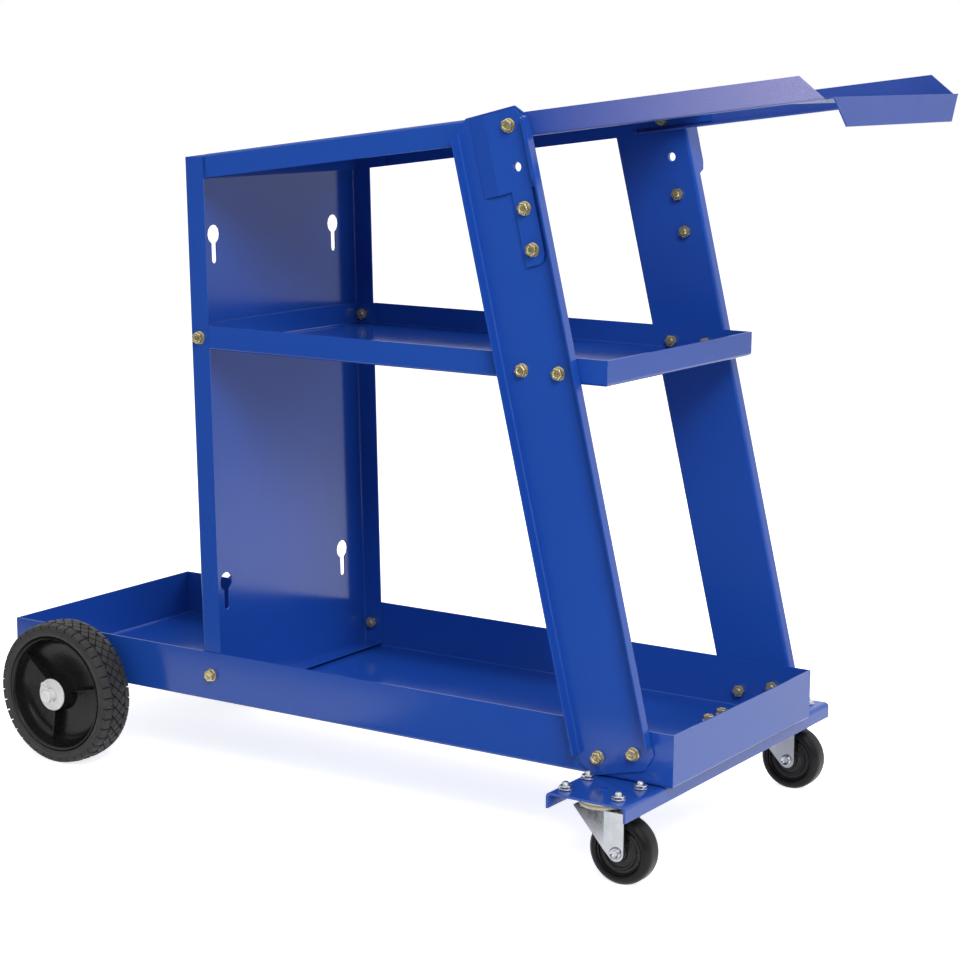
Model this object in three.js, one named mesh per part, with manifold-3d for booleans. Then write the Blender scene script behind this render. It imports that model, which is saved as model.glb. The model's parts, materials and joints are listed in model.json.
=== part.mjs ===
// A two-shelf steel welding cart: base tray on two rear wheels and two front casters,
// a back panel, two leaning legs, a middle shelf, a sloped top shelf and a push handle.
// Millimetres, +Z up, +X towards the handle, origin under the middle of the whole cart.
import * as THREE from "three";
import { mergeVertices } from "three/addons/utils/BufferGeometryUtils.js";
import Module from "manifold-3d";

// Shared clearances and sheet gauges
const GAP = 0.3;
const RUN = 0.4;
const SHEET = 1.6;
const BEND = 4;
const HOLE_CLEAR = 0.5;
const OVER = 1;
const EMBED = 0.1;
const LAP = 20;
const ROUND = 1 - Math.SQRT1_2;
const CIRCLE = 12;
const SHANK_SIDES = 8;
const WHEEL_SIDES = 40;
const SMALL_WHEEL_SIDES = 28;

// Base tray
const TRAY_LENGTH = 955;
const TRAY_WIDTH = 340;
const TRAY_BOTTOM = 100;
const TRAY_RIM = 60;

// Back panel
const PANEL_FOOT = 648;
const PANEL_LEAN = 1.9;
const PANEL_DEPTH = 28;
const PANEL_TOP = 754.6;
const KEYHOLE_Y = 120;
const KEYHOLE_R = 11.5;
const KEYHOLE_SLOT_R = 4.5;
const KEYHOLE_UPPER = 661;
const KEYHOLE_LOWER = 237;
const KEYHOLE_DROP = 30.5;
const PANEL_BOLT_INSET = 14;
const PANEL_BOLT_LOW = 132;
const PANEL_BOLT_RISE = 3;

// Middle shelf
const SHELF_FRONT = 90;
const SHELF_BOTTOM = 528.5;
const SHELF_RIM = 28.5;
const SHELF_BOLT_Z = 539;

// Top shelf and handle, measured along their own slope
const TOP_SLOPE = 7.45;
const TOP_BACK = 667;
const TOP_FLANGE = 27.5;
const TOP_MAIN_END = 418;
const TOP_PLATE_END = 520;
const TOP_TUCK_FLANGE = 21;
const TOP_CLEAR = 1;
const ARM_START = 421;
const ARM_TOP_END = 795.7;
const ARM_HEIGHT = 26;
const ARM_FOOT = 15;
const ARM_BEND = 2.5;
const GRIP_DEPTH = 52;
const GRIP_NOSE = 6.3;
const GRIP_LIP = 28.4;
const GRIP_INSET = 8.5;
const GRIP_TAPER = 24.5;

// Legs, measured across and along their own lean
const LEG_LEAN = 13.9;
const LEG_FOOT_X = 68.8;
const LEG_FOOT_Z = 123.1;
const LEG_WIDTH = 96;
const LEG_DEPTH = 15;
const LEG_SHEET = 2;
const LEG_TOP = 712.6;
const LEG_END = 15.5;
const LEG_CHAMFER = 16;
const LEG_FLANGE_END = 10;
const LEG_PITCH = 45;
const LEG_TOP_HOLE = 693.2;
const LEG_FOOT_HOLE = 4;
const SPARE_HOLE_R = 5.2;

// Cable brackets on the legs
const HOOK_SHEET = 3;
const HOOK_BACK = 7;
const HOOK_LOW = 623;
const HOOK_WING = 20;
const HOOK_WING_ANGLE = 40;
const HOOK_REACH_RIGHT = 12;
const HOOK_REACH_LEFT = 31;
const HOOK_TAB_HALF = 13;
const HOOK_TAB_END = 541;
const HOOK_TAB_CORNER = 10;
const HOOK_CORNER = 14;

// Caster channel and casters
const BAR_MARGIN = 9.5;
const BAR_BACK = 110;
const BAR_FRONT = 12;
const BAR_HEIGHT = 18;
const BAR_SHEET = 3;
const BAR_BEND = 5;
const BAR_BOLT_BACK = 92.6;
const BAR_BOLT_Y = [90, 124];
const CASTER_TRAY_CLEAR = 4;
const CASTER_BACK = 64.4;
const CASTER_TRAIL = 27.4;
const CASTER_PLATE_X = 81;
const CASTER_PLATE_Y = 68;
const CASTER_PLATE = 3;
const STUD_X = 65;
const STUD_Y = 48;
const STUD_R = 4;
const STUD_HEAD = 1.5;
const RACE_R = 26.5;
const RACE_HEIGHT = 7;
const FORK_SHEET = 3;
const FORK_SIDE_CLEAR = 2;
const FORK_BACK = 26;
const FORK_SHOULDER = 9;
const FORK_END_R = 9.5;
const KINGPIN_R = 6;
const KINGPIN_HEAD_R = 9;
const KINGPIN_HEAD = 2.7;
const CASTER_R = 38;
const CASTER_WIDTH = 28;
const CASTER_ROUND = 7;
const CASTER_HUB_R = 27;
const CASTER_HUB_RIM = 3;
const CASTER_DISH = 4;
const CASTER_BEAD = 2;
const CASTER_BOSS_R = 11;
const CASTER_AXLE_R = 5;
const CASTER_TAIL = 0.5;

// Rear axle and wheels
const WHEEL_BACK = 840;
const WHEEL_R = 89;
const WHEEL_WIDTH = 46;
const WHEEL_OUTER_Y = 229;
const TYRE_BEAD = 4;
const TYRE_WALL = 7;
const TYRE_SHOULDER = 6;
const TYRE_EASE = 1.5;
const TYRE_CROWN = 7;
const RIM_R = 72;
const RIM_LIP = 5;
const RIM_SET = 5;
const DISH_OUTER = 16;
const DISH_INNER = 14;
const BOSS_R = 19;
const BOSS_DRAFT = 2;
const BOSS_SET = 1;
const RIB_SHEET = 2.4;
const RIB_RISE = 10;
const RIB_ANGLES = [142, 12, 258];
const AXLE_R = 8;
const AXLE_TAIL = 12.2;
const WASHER_R = 20;
const WASHER_SHEET = 2.5;
const PIN_R = 1.6;
const PIN_LENGTH = 25;
const PIN_LEAN = 35;
const PIN_SET = 4.7;
const PIN_EYE_R = 3.6;
const PIN_WIRE_R = 1.4;
const PIN_PRONG_R = 1.2;
const PIN_PRONG = 9;
const PIN_SPLAY = 24;
const HANGER_Y = 150;
const HANGER_SHEET = 4;
const HANGER_FOOT = 26;
const HANGER_LAND = 8;
const HANGER_HALF = 32;
const HANGER_DROP = 26;

// Hex fasteners
const BOLT_R = 4;
const HEAD_AF = 12.5;
const HEAD_HEIGHT = 5.5;
const COLLAR_R = 7.8;
const COLLAR_HEIGHT = 1.4;
const NUT_AF = 13;
const NUT_HEIGHT = 6.5;
const TAIL = 2.5;

// Derived places
const rad = THREE.MathUtils.degToRad;
const slope = rad(TOP_SLOPE);
const lean = rad(LEG_LEAN);
const panelLean = rad(PANEL_LEAN);
const ARM_END = ARM_TOP_END + ARM_HEIGHT;
const GRIP_FRONT = ARM_END + GRIP_NOSE;
const LIP_REACH = GRIP_FRONT * Math.cos(slope) + (ARM_HEIGHT + GRIP_LIP) * Math.sin(slope);
const HANDLE_REACH = LIP_REACH - TOP_BACK;
const TRAY_FRONT = (TRAY_LENGTH - HANDLE_REACH) / 2;
const TRAY_REAR = TRAY_FRONT - TRAY_LENGTH;
const HALF = TRAY_WIDTH / 2;
const GRIP_TOP_HALF = HALF - GRIP_INSET;
const GRIP_LOW_HALF = GRIP_TOP_HALF - GRIP_TAPER;
const FLOOR = TRAY_BOTTOM + SHEET;
const WALL_INNER = HALF - SHEET;
const PANEL_HALF = WALL_INNER - GAP;
const TUCK_HALF = PANEL_HALF - SHEET - GAP;
const LEG_FACE = HALF + GAP;
const LEG_OUTER = LEG_FACE + LEG_SHEET;
const LEG_HALF = LEG_WIDTH / 2;
const LEG_CROWN = LEG_HALF - LEG_CHAMFER;
const LEG_SHOULDER = LEG_TOP - LEG_CHAMFER;
const LEG_TOE = LEG_CHAMFER - LEG_END;
const LEG_ROW = LEG_PITCH / 2;
const HOOK_FACE = LEG_OUTER + GAP;
const HOOK_OUTER = HOOK_FACE + HOOK_SHEET;
const BAR_TOP = TRAY_BOTTOM - GAP;
const CASTER_Y = HALF + CASTER_TRAY_CLEAR + CASTER_PLATE_Y / 2;
const BAR_LENGTH = 2 * (CASTER_Y + CASTER_PLATE_Y / 2 + BAR_MARGIN);
const PLATE_TOP = BAR_TOP - BAR_SHEET - GAP;
const PLATE_LOW = PLATE_TOP - CASTER_PLATE;
const RACE_LOW = PLATE_LOW - GAP - RACE_HEIGHT;
const FORK_TOP = RACE_LOW - GAP;
const FORK_LOW = FORK_TOP - FORK_SHEET;
const AXLE_Z = WHEEL_R;
const WHEEL_INNER_Y = WHEEL_OUTER_Y - WHEEL_WIDTH;
const WASHER_FACE = WHEEL_OUTER_Y + GAP + WASHER_SHEET;
const PIN_Y = WASHER_FACE + PIN_SET;
const AXLE_END = WASHER_FACE + AXLE_TAIL;

const wasm = await Module();
wasm.setup();

const cart = new THREE.Group();
cart.name = "welding_cart";

// Finishes read from the photograph
const finish = (color, roughness, metalness) =>
  new THREE.MeshStandardMaterial({ color, roughness, metalness });
const BLUE = finish(0x2447a0, 0.35, 0.1);
const TEXTURED = finish(0x3c4a9c, 0.55, 0.1);
const GOLD = finish(0xc8be82, 0.35, 0.9);
const ZINC = finish(0xb9bcc0, 0.35, 0.9);
const RUBBER = finish(0x26272a, 0.85, 0.0);
const PLASTIC = finish(0x17181a, 0.5, 0.0);
const CREAM = finish(0xe6e0cf, 0.6, 0.0);

// Place a distance measured back from the front wall of the base tray.
const back = (distance) => TRAY_FRONT - distance;

// Rear face of the leaning back panel at a height.
const panelRear = (z) => back(PANEL_FOOT) - (z - FLOOR) * Math.tan(panelLean);

// Turn a closed three.js geometry into a solid that can be joined and cut.
function solid(geometry) {
  const bare = geometry.clone();
  bare.deleteAttribute("normal");
  bare.deleteAttribute("uv");
  const merged = mergeVertices(bare, 1e-4);
  const mesh = new wasm.Mesh({
    numProp: 3,
    vertProperties: new Float32Array(merged.attributes.position.array),
    triVerts: new Uint32Array(merged.index.array),
  });
  return new wasm.Manifold(mesh);
}

// Join a list of solids into one.
const join = (solids) => solids.reduce((sum, next) => sum.add(next));

// Cut every solid of a list from the first.
const cut = (body, tools) => tools.reduce((left, tool) => left.subtract(tool), body);

// Add a finished solid to the cart as a named mesh.
function piece(name, body, material) {
  const data = body.getMesh();
  const geometry = new THREE.BufferGeometry();
  geometry.setAttribute("position", new THREE.BufferAttribute(data.vertProperties, 3));
  geometry.setIndex(new THREE.BufferAttribute(data.triVerts, 1));
  geometry.computeVertexNormals();
  const mesh = new THREE.Mesh(geometry, material);
  mesh.name = name;
  cart.add(mesh);
}

function box(x0, x1, y0, y1, z0, z1) {
  const geometry = new THREE.BoxGeometry(x1 - x0, y1 - y0, z1 - z0);
  geometry.translate((x0 + x1) / 2, (y0 + y1) / 2, (z0 + z1) / 2);
  return solid(geometry);
}

function shapeOf(points) {
  return new THREE.Shape(points.map(([u, v]) => new THREE.Vector2(u, v)));
}

function prism(points, depth) {
  return new THREE.ExtrudeGeometry(shapeOf(points), { depth, bevelEnabled: false, steps: 1 });
}

// Outline in X and Z, thick along Y.
function slabXZ(points, y0, y1) {
  const geometry = prism(points, y1 - y0);
  geometry.rotateX(Math.PI / 2);
  geometry.translate(0, y1, 0);
  return solid(geometry);
}

// Outline in X and Y, thick along Z.
function slabXY(points, z0, z1) {
  const geometry = prism(points, z1 - z0);
  geometry.translate(0, 0, z0);
  return solid(geometry);
}

// Outline in Y and Z, thick along X.
function slabYZ(points, x0, x1) {
  const geometry = prism(points, x1 - x0);
  const turn = new THREE.Matrix4().makeBasis(
    new THREE.Vector3(0, 1, 0),
    new THREE.Vector3(0, 0, 1),
    new THREE.Vector3(1, 0, 0),
  );
  geometry.applyMatrix4(turn);
  geometry.translate(x0, 0, 0);
  return solid(geometry);
}

function rodY(radius, x, z, y0, y1, sides = CIRCLE) {
  const geometry = new THREE.CylinderGeometry(radius, radius, y1 - y0, sides);
  geometry.translate(x, (y0 + y1) / 2, z);
  return solid(geometry);
}

function rodZ(radius, x, y, z0, z1, sides = CIRCLE) {
  const geometry = new THREE.CylinderGeometry(radius, radius, z1 - z0, sides);
  geometry.rotateX(Math.PI / 2);
  geometry.translate(x, y, (z0 + z1) / 2);
  return solid(geometry);
}

// Ring or disc turned about Y from a closed profile of radius and y pairs.
function turnedY(profile, x, z, sides) {
  const area = profile.reduce((sum, [r, y], i) => {
    const [r2, y2] = profile[(i + 1) % profile.length];
    return sum + r * y2 - r2 * y;
  }, 0);
  const ordered = area > 0 ? profile : [...profile].reverse();
  const closed = [...ordered, ordered[0]].map(([r, y]) => new THREE.Vector2(r, y));
  const geometry = new THREE.LatheGeometry(closed, sides);
  geometry.translate(x, 0, z);
  return solid(geometry);
}

// Rectangle whose lower corners are rounded like a folded edge.
function foldedOutline(u0, u1, v0, v1, radius) {
  const points = [[u1, v1], [u0, v1]];
  const steps = 3;
  for (let i = 0; i <= steps; i += 1) {
    const turn = (Math.PI / 2) * (i / steps);
    points.push([u0 + radius * (1 - Math.cos(turn)), v0 + radius * (1 - Math.sin(turn))]);
  }
  for (let i = 0; i <= steps; i += 1) {
    const turn = (Math.PI / 2) * (i / steps);
    points.push([u1 - radius * (1 - Math.sin(turn)), v0 + radius * (1 - Math.cos(turn))]);
  }
  return points;
}

// Block with all four lower edges rounded.
function foldedBlock([x0, x1, y0, y1, z0, z1], radius) {
  const alongY = slabXZ(foldedOutline(x0, x1, z0, z1, radius), y0, y1);
  const alongX = slabYZ(foldedOutline(y0, y1, z0, z1, radius), x0, x1);
  return alongY.intersect(alongX);
}

// Open sheet tray with folded walls on all four sides.
function tray(x0, x1, half, z0, z1, sheet) {
  const outer = foldedBlock([x0, x1, -half, half, z0, z1], BEND);
  const innerBox = [x0 + sheet, x1 - sheet, -half + sheet, half - sheet, z0 + sheet, z1 + OVER];
  return outer.subtract(foldedBlock(innerBox, BEND - sheet));
}

// Hexagon prism about a Y line; acrossFlats is the spanner size.
const hexY = (acrossFlats, x, z, y0, y1) => rodY(acrossFlats / Math.sqrt(3), x, z, y0, y1, 6);
const hexZ = (acrossFlats, x, y, z0, z1) => rodZ(acrossFlats / Math.sqrt(3), x, y, z0, z1, 6);

// Bolt across a side wall, head outside at +Y or -Y and nut on the inside.
function sideBolt(name, side, x, z, headFace, nutFace) {
  const span = (a, b) => (side > 0 ? [a, b] : [-b, -a]);
  const seat = headFace + GAP;
  const collarTop = seat + COLLAR_HEIGHT;
  const nutTop = nutFace - GAP;
  const nutEnd = nutTop - NUT_HEIGHT;
  const body = join([
    rodY(BOLT_R, x, z, ...span(nutEnd - TAIL, collarTop), SHANK_SIDES),
    rodY(COLLAR_R, x, z, ...span(seat, collarTop)),
    hexY(HEAD_AF, x, z, ...span(collarTop - EMBED, collarTop + HEAD_HEIGHT)),
    hexY(NUT_AF, x, z, ...span(nutEnd, nutTop)),
  ]);
  piece(name, body, GOLD);
}

// Round hole through a side wall for a bolt.
const sideHole = (side, x, z, radius = BOLT_R + HOLE_CLEAR) => {
  const reach = [TUCK_HALF - SHEET - OVER, HOOK_OUTER + OVER];
  const [y0, y1] = side > 0 ? reach : [-reach[1], -reach[0]];
  return rodY(radius, x, z, y0, y1);
};

// Place on a leg: across is towards the handle, along is up the leg from its foot.
function onLeg(across, along) {
  const x = back(LEG_FOOT_X) + across * Math.cos(lean) - along * Math.sin(lean);
  const z = LEG_FOOT_Z + across * Math.sin(lean) + along * Math.cos(lean);
  return [x, z];
}

// Place on the sloped top: along runs to the handle, lift is square to the plate.
function tilt(body) {
  const turned = new THREE.Matrix4().makeRotationY(-slope);
  const moved = new THREE.Matrix4().makeTranslation(back(TOP_BACK), 0, PANEL_TOP);
  return body.transform(moved.multiply(turned).toArray());
}

const SIDES = [["right", -1], ["left", 1]];

// Bolt centres shared by the parts they hold
const legFootBolts = [onLeg(-LEG_ROW, LEG_FOOT_HOLE), onLeg(LEG_ROW, LEG_FOOT_HOLE)];
const shelfAlong = (SHELF_BOLT_Z - LEG_FOOT_Z) / Math.cos(lean);
const shelfBoltAt = (across) => onLeg(across, shelfAlong - across * Math.tan(lean));
const shelfBolts = [shelfBoltAt(-LEG_ROW), shelfBoltAt(LEG_ROW)];
const topBolt = onLeg(LEG_ROW, LEG_TOP_HOLE);
const spareHole = [...onLeg(LEG_ROW, LEG_TOP_HOLE - LEG_PITCH), SPARE_HOLE_R];
const hookBolts = [2, 3].map((n) => onLeg(LEG_ROW, LEG_TOP_HOLE - n * LEG_PITCH));
const panelBolt = (z) => [panelRear(z) + PANEL_BOLT_INSET, z];
const panelLowBolt = panelBolt(PANEL_BOLT_LOW);
const panelMidBolt = panelBolt(SHELF_BOLT_Z + PANEL_BOLT_RISE);
const casterX = back(CASTER_BACK);
const barBoltX = back(BAR_BOLT_BACK);
const bothSides = (spots) =>
  SIDES.flatMap(([, side]) => spots.map(([x, z]) => sideHole(side, x, z)));
const barBoltHoles = SIDES.flatMap(([, side]) =>
  BAR_BOLT_Y.map((y) =>
    rodZ(BOLT_R + HOLE_CLEAR, barBoltX, side * y, BAR_TOP - BAR_SHEET - OVER, FLOOR + OVER),
  ),
);

// Base tray
piece(
  "base_tray",
  cut(
    tray(TRAY_REAR, TRAY_FRONT, HALF, TRAY_BOTTOM, TRAY_BOTTOM + TRAY_RIM, SHEET),
    [...bothSides([...legFootBolts, panelLowBolt]), ...barBoltHoles],
  ),
  BLUE,
);

// Back panel: web at the rear, side flanges and a foot flange pointing forward, built upright and then leant back
function keyhole(y, z) {
  const x0 = back(PANEL_FOOT) - OVER;
  const depth = SHEET + 2 * OVER;
  const round = (radius, height) => {
    const geometry = new THREE.CylinderGeometry(radius, radius, depth, CIRCLE);
    geometry.rotateZ(Math.PI / 2);
    geometry.translate(x0 + depth / 2, y, height);
    return solid(geometry);
  };
  const low = z - KEYHOLE_DROP;
  const slot = box(x0, x0 + depth, y - KEYHOLE_SLOT_R, y + KEYHOLE_SLOT_R, low, z);
  return join([round(KEYHOLE_R, z), round(KEYHOLE_SLOT_R, low), slot]);
}

function backPanel() {
  const rear = back(PANEL_FOOT);
  const front = rear + PANEL_DEPTH;
  const z0 = FLOOR + BEND - SHEET;
  const plan = (half, x0, x1, radius) =>
    foldedOutline(-half, half, x0, x1, radius).map(([u, v]) => [v, -u]);
  const outer = slabXY(plan(PANEL_HALF, rear, front, BEND), z0, PANEL_TOP);
  const inner = slabXY(
    plan(PANEL_HALF - SHEET, rear + SHEET, front + OVER, BEND - SHEET),
    z0 + SHEET,
    PANEL_TOP + OVER,
  );
  const keys = [-KEYHOLE_Y, KEYHOLE_Y].flatMap((y) => [
    keyhole(y, KEYHOLE_UPPER),
    keyhole(y, KEYHOLE_LOWER),
  ]);
  const upright = cut(outer.subtract(inner), keys);
  const home = new THREE.Matrix4().makeTranslation(-rear, 0, -FLOOR);
  const turned = new THREE.Matrix4().makeRotationY(-panelLean);
  const moved = new THREE.Matrix4().makeTranslation(rear, 0, FLOOR);
  const leaning = upright.transform(moved.multiply(turned).multiply(home).toArray());
  return cut(leaning, bothSides([panelLowBolt, panelMidBolt]));
}
piece("back_panel", backPanel(), BLUE);

// Middle shelf, narrowed at the rear so that it sits inside the panel flanges
function middleShelf() {
  const rear = panelRear(SHELF_BOTTOM) + BEND + GAP;
  const step = panelRear(SHELF_BOTTOM) + PANEL_DEPTH / Math.cos(panelLean) + GAP;
  const z1 = SHELF_BOTTOM + SHELF_RIM;
  const front = back(SHELF_FRONT);
  const outer = join([
    foldedBlock([step, front, -HALF, HALF, SHELF_BOTTOM, z1], BEND),
    foldedBlock([rear, step + LAP, -TUCK_HALF, TUCK_HALF, SHELF_BOTTOM, z1], BEND),
  ]);
  const low = SHELF_BOTTOM + SHEET;
  const wide = WALL_INNER;
  const slim = TUCK_HALF - SHEET;
  const hollow = join([
    foldedBlock([step + SHEET, front - SHEET, -wide, wide, low, z1 + OVER], BEND - SHEET),
    foldedBlock([rear + SHEET, step + LAP, -slim, slim, low, z1 + OVER], BEND - SHEET),
  ]);
  return cut(outer.subtract(hollow), bothSides([...shelfBolts, panelMidBolt]));
}
piece("middle_shelf", middleShelf(), BLUE);

// Top shelf: plate on top with its sides turned down, built flat and then tilted
const TOP_REAR = panelRear(PANEL_TOP) - back(TOP_BACK) + BEND + TOP_CLEAR;
const TOP_STEP = TOP_REAR + PANEL_DEPTH;
const ARM_INNER = HALF - SHEET - GAP;

function downTray(x0, x1, half, drop) {
  const upside = (outline) => outline.map(([u, v]) => [u, -v]).reverse();
  const wrap = (a, b, h, top, low, radius) =>
    slabYZ(upside(foldedOutline(-h, h, top, low, radius)), a, b);
  const outer = wrap(x0, x1, half, 0, drop, BEND);
  const inner = wrap(x0 - OVER, x1 + OVER, half - SHEET, SHEET, drop + OVER, BEND - SHEET);
  return [outer, inner];
}

function topShelf() {
  const [rear, rearIn] = downTray(TOP_REAR, TOP_STEP + LAP, TUCK_HALF, TOP_FLANGE);
  const [main, mainIn] = downTray(TOP_STEP, TOP_MAIN_END, HALF, TOP_FLANGE);
  const [tuck, tuckIn] = downTray(TOP_MAIN_END - LAP, TOP_PLATE_END, ARM_INNER, TOP_TUCK_FLANGE);
  const rearWall = box(TOP_REAR, TOP_REAR + SHEET, -TUCK_HALF, TUCK_HALF, -TOP_FLANGE, -SHEET / 2);
  const skin = join([
    rear.subtract(rearIn),
    main.subtract(mainIn).subtract(rearIn),
    tuck.subtract(tuckIn),
    rearWall,
  ]);
  return cut(tilt(skin), bothSides([topBolt]));
}
piece("top_shelf", topShelf(), BLUE);

// Push handle: two arms with turned-in feet, a cross strip and its turned-down lip
function handle() {
  const low = -ARM_HEIGHT;
  const arms = SIDES.map(([, side]) => {
    const profile = [
      [HALF, 0],
      [HALF - SHEET, 0],
      [HALF - SHEET, low + SHEET],
      [HALF - ARM_FOOT, low + SHEET],
      [HALF - ARM_FOOT, low],
      [HALF - ARM_BEND, low],
      [HALF - ROUND * ARM_BEND, low + ROUND * ARM_BEND],
      [HALF, low + ARM_BEND],
    ].map(([y, z]) => [y * side, z]);
    const outline = side > 0 ? profile : [...profile].reverse();
    const bar = slabYZ(outline, ARM_START, ARM_END);
    const nose = slabXZ(
      [
        [ARM_TOP_END - OVER, OVER],
        [ARM_END + OVER, low - OVER],
        [GRIP_FRONT, low - OVER],
        [GRIP_FRONT, OVER],
      ],
      -HALF - OVER,
      HALF + OVER,
    );
    return bar.subtract(nose);
  });
  const gripBack = GRIP_FRONT - GRIP_DEPTH;
  const armMid = HALF - SHEET / 2;
  const stripEnd = ARM_END - SHEET;
  const strip = slabXY(
    [
      [gripBack, -armMid],
      [stripEnd, -armMid],
      [GRIP_FRONT, -GRIP_TOP_HALF],
      [GRIP_FRONT, GRIP_TOP_HALF],
      [stripEnd, armMid],
      [gripBack, armMid],
    ],
    low,
    low + SHEET,
  );
  const lip = slabYZ(
    [
      [-GRIP_LOW_HALF, low - GRIP_LIP],
      [GRIP_LOW_HALF, low - GRIP_LIP],
      [GRIP_TOP_HALF, low + SHEET],
      [-GRIP_TOP_HALF, low + SHEET],
    ],
    GRIP_FRONT - SHEET,
    GRIP_FRONT,
  );
  return cut(tilt(join([...arms, strip, lip])), bothSides([topBolt]));
}
piece("handle", handle(), TEXTURED);

// Outline across a leg and outwards in Y, run up the leg from one height to another.
function legRun(points, side, low, high) {
  const placed = side > 0 ? points : points.map(([a, y]) => [a, -y]).reverse();
  const geometry = prism(placed, high - low);
  const turn = new THREE.Matrix4().makeBasis(
    new THREE.Vector3(Math.cos(lean), 0, Math.sin(lean)),
    new THREE.Vector3(0, 1, 0),
    new THREE.Vector3(-Math.sin(lean), 0, Math.cos(lean)),
  );
  const [x, z] = onLeg(0, low);
  geometry.applyMatrix4(turn);
  geometry.translate(x, 0, z);
  return solid(geometry);
}

// Legs: folded channels with their flanges pointing outwards
function leg(side) {
  const y = (a, b) => (side > 0 ? [a, b] : [-b, -a]);
  const tip = LEG_FACE + LEG_DEPTH;
  const outline = [
    onLeg(LEG_HALF, LEG_SHOULDER),
    onLeg(LEG_CROWN, LEG_TOP),
    onLeg(-LEG_CROWN, LEG_TOP),
    onLeg(-LEG_HALF, LEG_SHOULDER),
    onLeg(-LEG_HALF, LEG_TOE),
    onLeg(-LEG_CROWN, -LEG_END),
    onLeg(LEG_CROWN, -LEG_END),
    onLeg(LEG_HALF, LEG_TOE),
  ];
  const low = -LEG_WIDTH;
  const high = LEG_TOP + LEG_DEPTH;
  const outer = legRun(foldedOutline(-LEG_HALF, LEG_HALF, LEG_FACE, tip, BEND), side, low, high);
  const inside = LEG_HALF - LEG_SHEET;
  const inner = legRun(
    foldedOutline(-inside, inside, LEG_OUTER, tip + OVER, BEND - LEG_SHEET),
    side,
    low - OVER,
    high + OVER,
  );
  const blank = outer.subtract(inner).intersect(slabXZ(outline, ...y(LEG_FACE - OVER, tip + OVER)));
  const toe = slabXZ(
    [
      onLeg(LEG_HALF + OVER, LEG_FLANGE_END),
      onLeg(-LEG_HALF - OVER, LEG_FLANGE_END),
      onLeg(-LEG_HALF - OVER, low),
      onLeg(LEG_HALF + OVER, low),
    ],
    ...y(LEG_OUTER, tip + OVER),
  );
  const spots = [...legFootBolts, ...shelfBolts, topBolt, spareHole, ...hookBolts];
  return cut(blank, [toe, ...spots.map((spot) => sideHole(side, ...spot))]);
}

// Cable brackets: a plate on the leg, a front fin, a bent rear wing and a lower tab
function hook(side) {
  const y = (a, b) => (side > 0 ? [a, b] : [-b, -a]);
  const reach = side > 0 ? HOOK_REACH_LEFT : HOOK_REACH_RIGHT;
  const front = LEG_HALF - LEG_SHEET - GAP;
  const top = LEG_TOP - HOOK_SHEET;
  const high = LEG_SHOULDER - HOOK_SHEET;
  const swing = rad(HOOK_WING_ANGLE);
  const out = HOOK_WING * Math.sin(swing);
  const wing = HOOK_BACK + HOOK_WING * Math.cos(swing);
  const skew = HOOK_SHEET * Math.tan(swing / 2);
  const fold = BEND - HOOK_SHEET;
  const section = [
    [-HOOK_BACK, HOOK_FACE],
    [front - BEND, HOOK_FACE],
    [front, HOOK_FACE + BEND],
    [front, HOOK_FACE + reach],
    [front - HOOK_SHEET, HOOK_FACE + reach],
    [front - HOOK_SHEET, HOOK_OUTER + fold],
    [front - HOOK_SHEET - fold, HOOK_OUTER],
    [skew - HOOK_BACK, HOOK_OUTER],
    [HOOK_SHEET * Math.sin(swing) - wing, HOOK_FACE + out + HOOK_SHEET * Math.cos(swing)],
    [-wing, HOOK_FACE + out],
  ];
  const crop = slabXZ(
    [
      onLeg(front + OVER, high),
      onLeg(LEG_CROWN, top),
      onLeg(-HOOK_BACK - HOOK_WING, top),
      onLeg(-HOOK_BACK - HOOK_WING, HOOK_LOW),
      onLeg(front + OVER, HOOK_LOW),
    ],
    ...y(HOOK_FACE - OVER, HOOK_FACE + Math.max(reach, out + HOOK_SHEET) + OVER),
  );
  const corner = cornerCut(side, front, reach);
  const strip = legRun(section, side, HOOK_LOW - OVER, top + OVER);
  const plate = strip.intersect(crop).subtract(corner);
  const a0 = LEG_ROW - HOOK_TAB_HALF;
  const a1 = LEG_ROW + HOOK_TAB_HALF;
  const tab = slabXZ(
    [
      onLeg(a1, HOOK_LOW + HOOK_SHEET),
      onLeg(a0, HOOK_LOW + HOOK_SHEET),
      onLeg(a0, HOOK_TAB_END),
      onLeg(a1 - HOOK_TAB_CORNER, HOOK_TAB_END),
      onLeg(a1 - ROUND * HOOK_TAB_CORNER, HOOK_TAB_END + ROUND * HOOK_TAB_CORNER),
      onLeg(a1, HOOK_TAB_END + HOOK_TAB_CORNER),
    ],
    ...y(HOOK_FACE, HOOK_OUTER),
  );
  const spots = [topBolt, spareHole, ...hookBolts];
  return cut(plate.add(tab), spots.map((spot) => sideHole(side, ...spot)));
}

// Triangle that takes off the lower outer corner of a bracket's fin.
function cornerCut(side, front, reach) {
  const edge = HOOK_FACE + reach;
  const take = Math.min(HOOK_CORNER, reach - BEND);
  const points = [
    [side * (edge + OVER), -OVER],
    [side * (edge + OVER), take],
    [side * edge, take],
    [side * (edge - take * ROUND), take * ROUND],
    [side * (edge - take), 0],
    [side * (edge - take), -OVER],
  ];
  const placed = side > 0 ? points : [...points].reverse();
  const geometry = prism(placed, HOOK_SHEET + 2 * OVER);
  const turn = new THREE.Matrix4().makeBasis(
    new THREE.Vector3(0, 1, 0),
    new THREE.Vector3(-Math.sin(lean), 0, Math.cos(lean)),
    new THREE.Vector3(Math.cos(lean), 0, Math.sin(lean)),
  );
  const [x, z] = onLeg(front - HOOK_SHEET - OVER, HOOK_LOW);
  geometry.applyMatrix4(turn);
  geometry.translate(x, 0, z);
  return solid(geometry);
}

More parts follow.
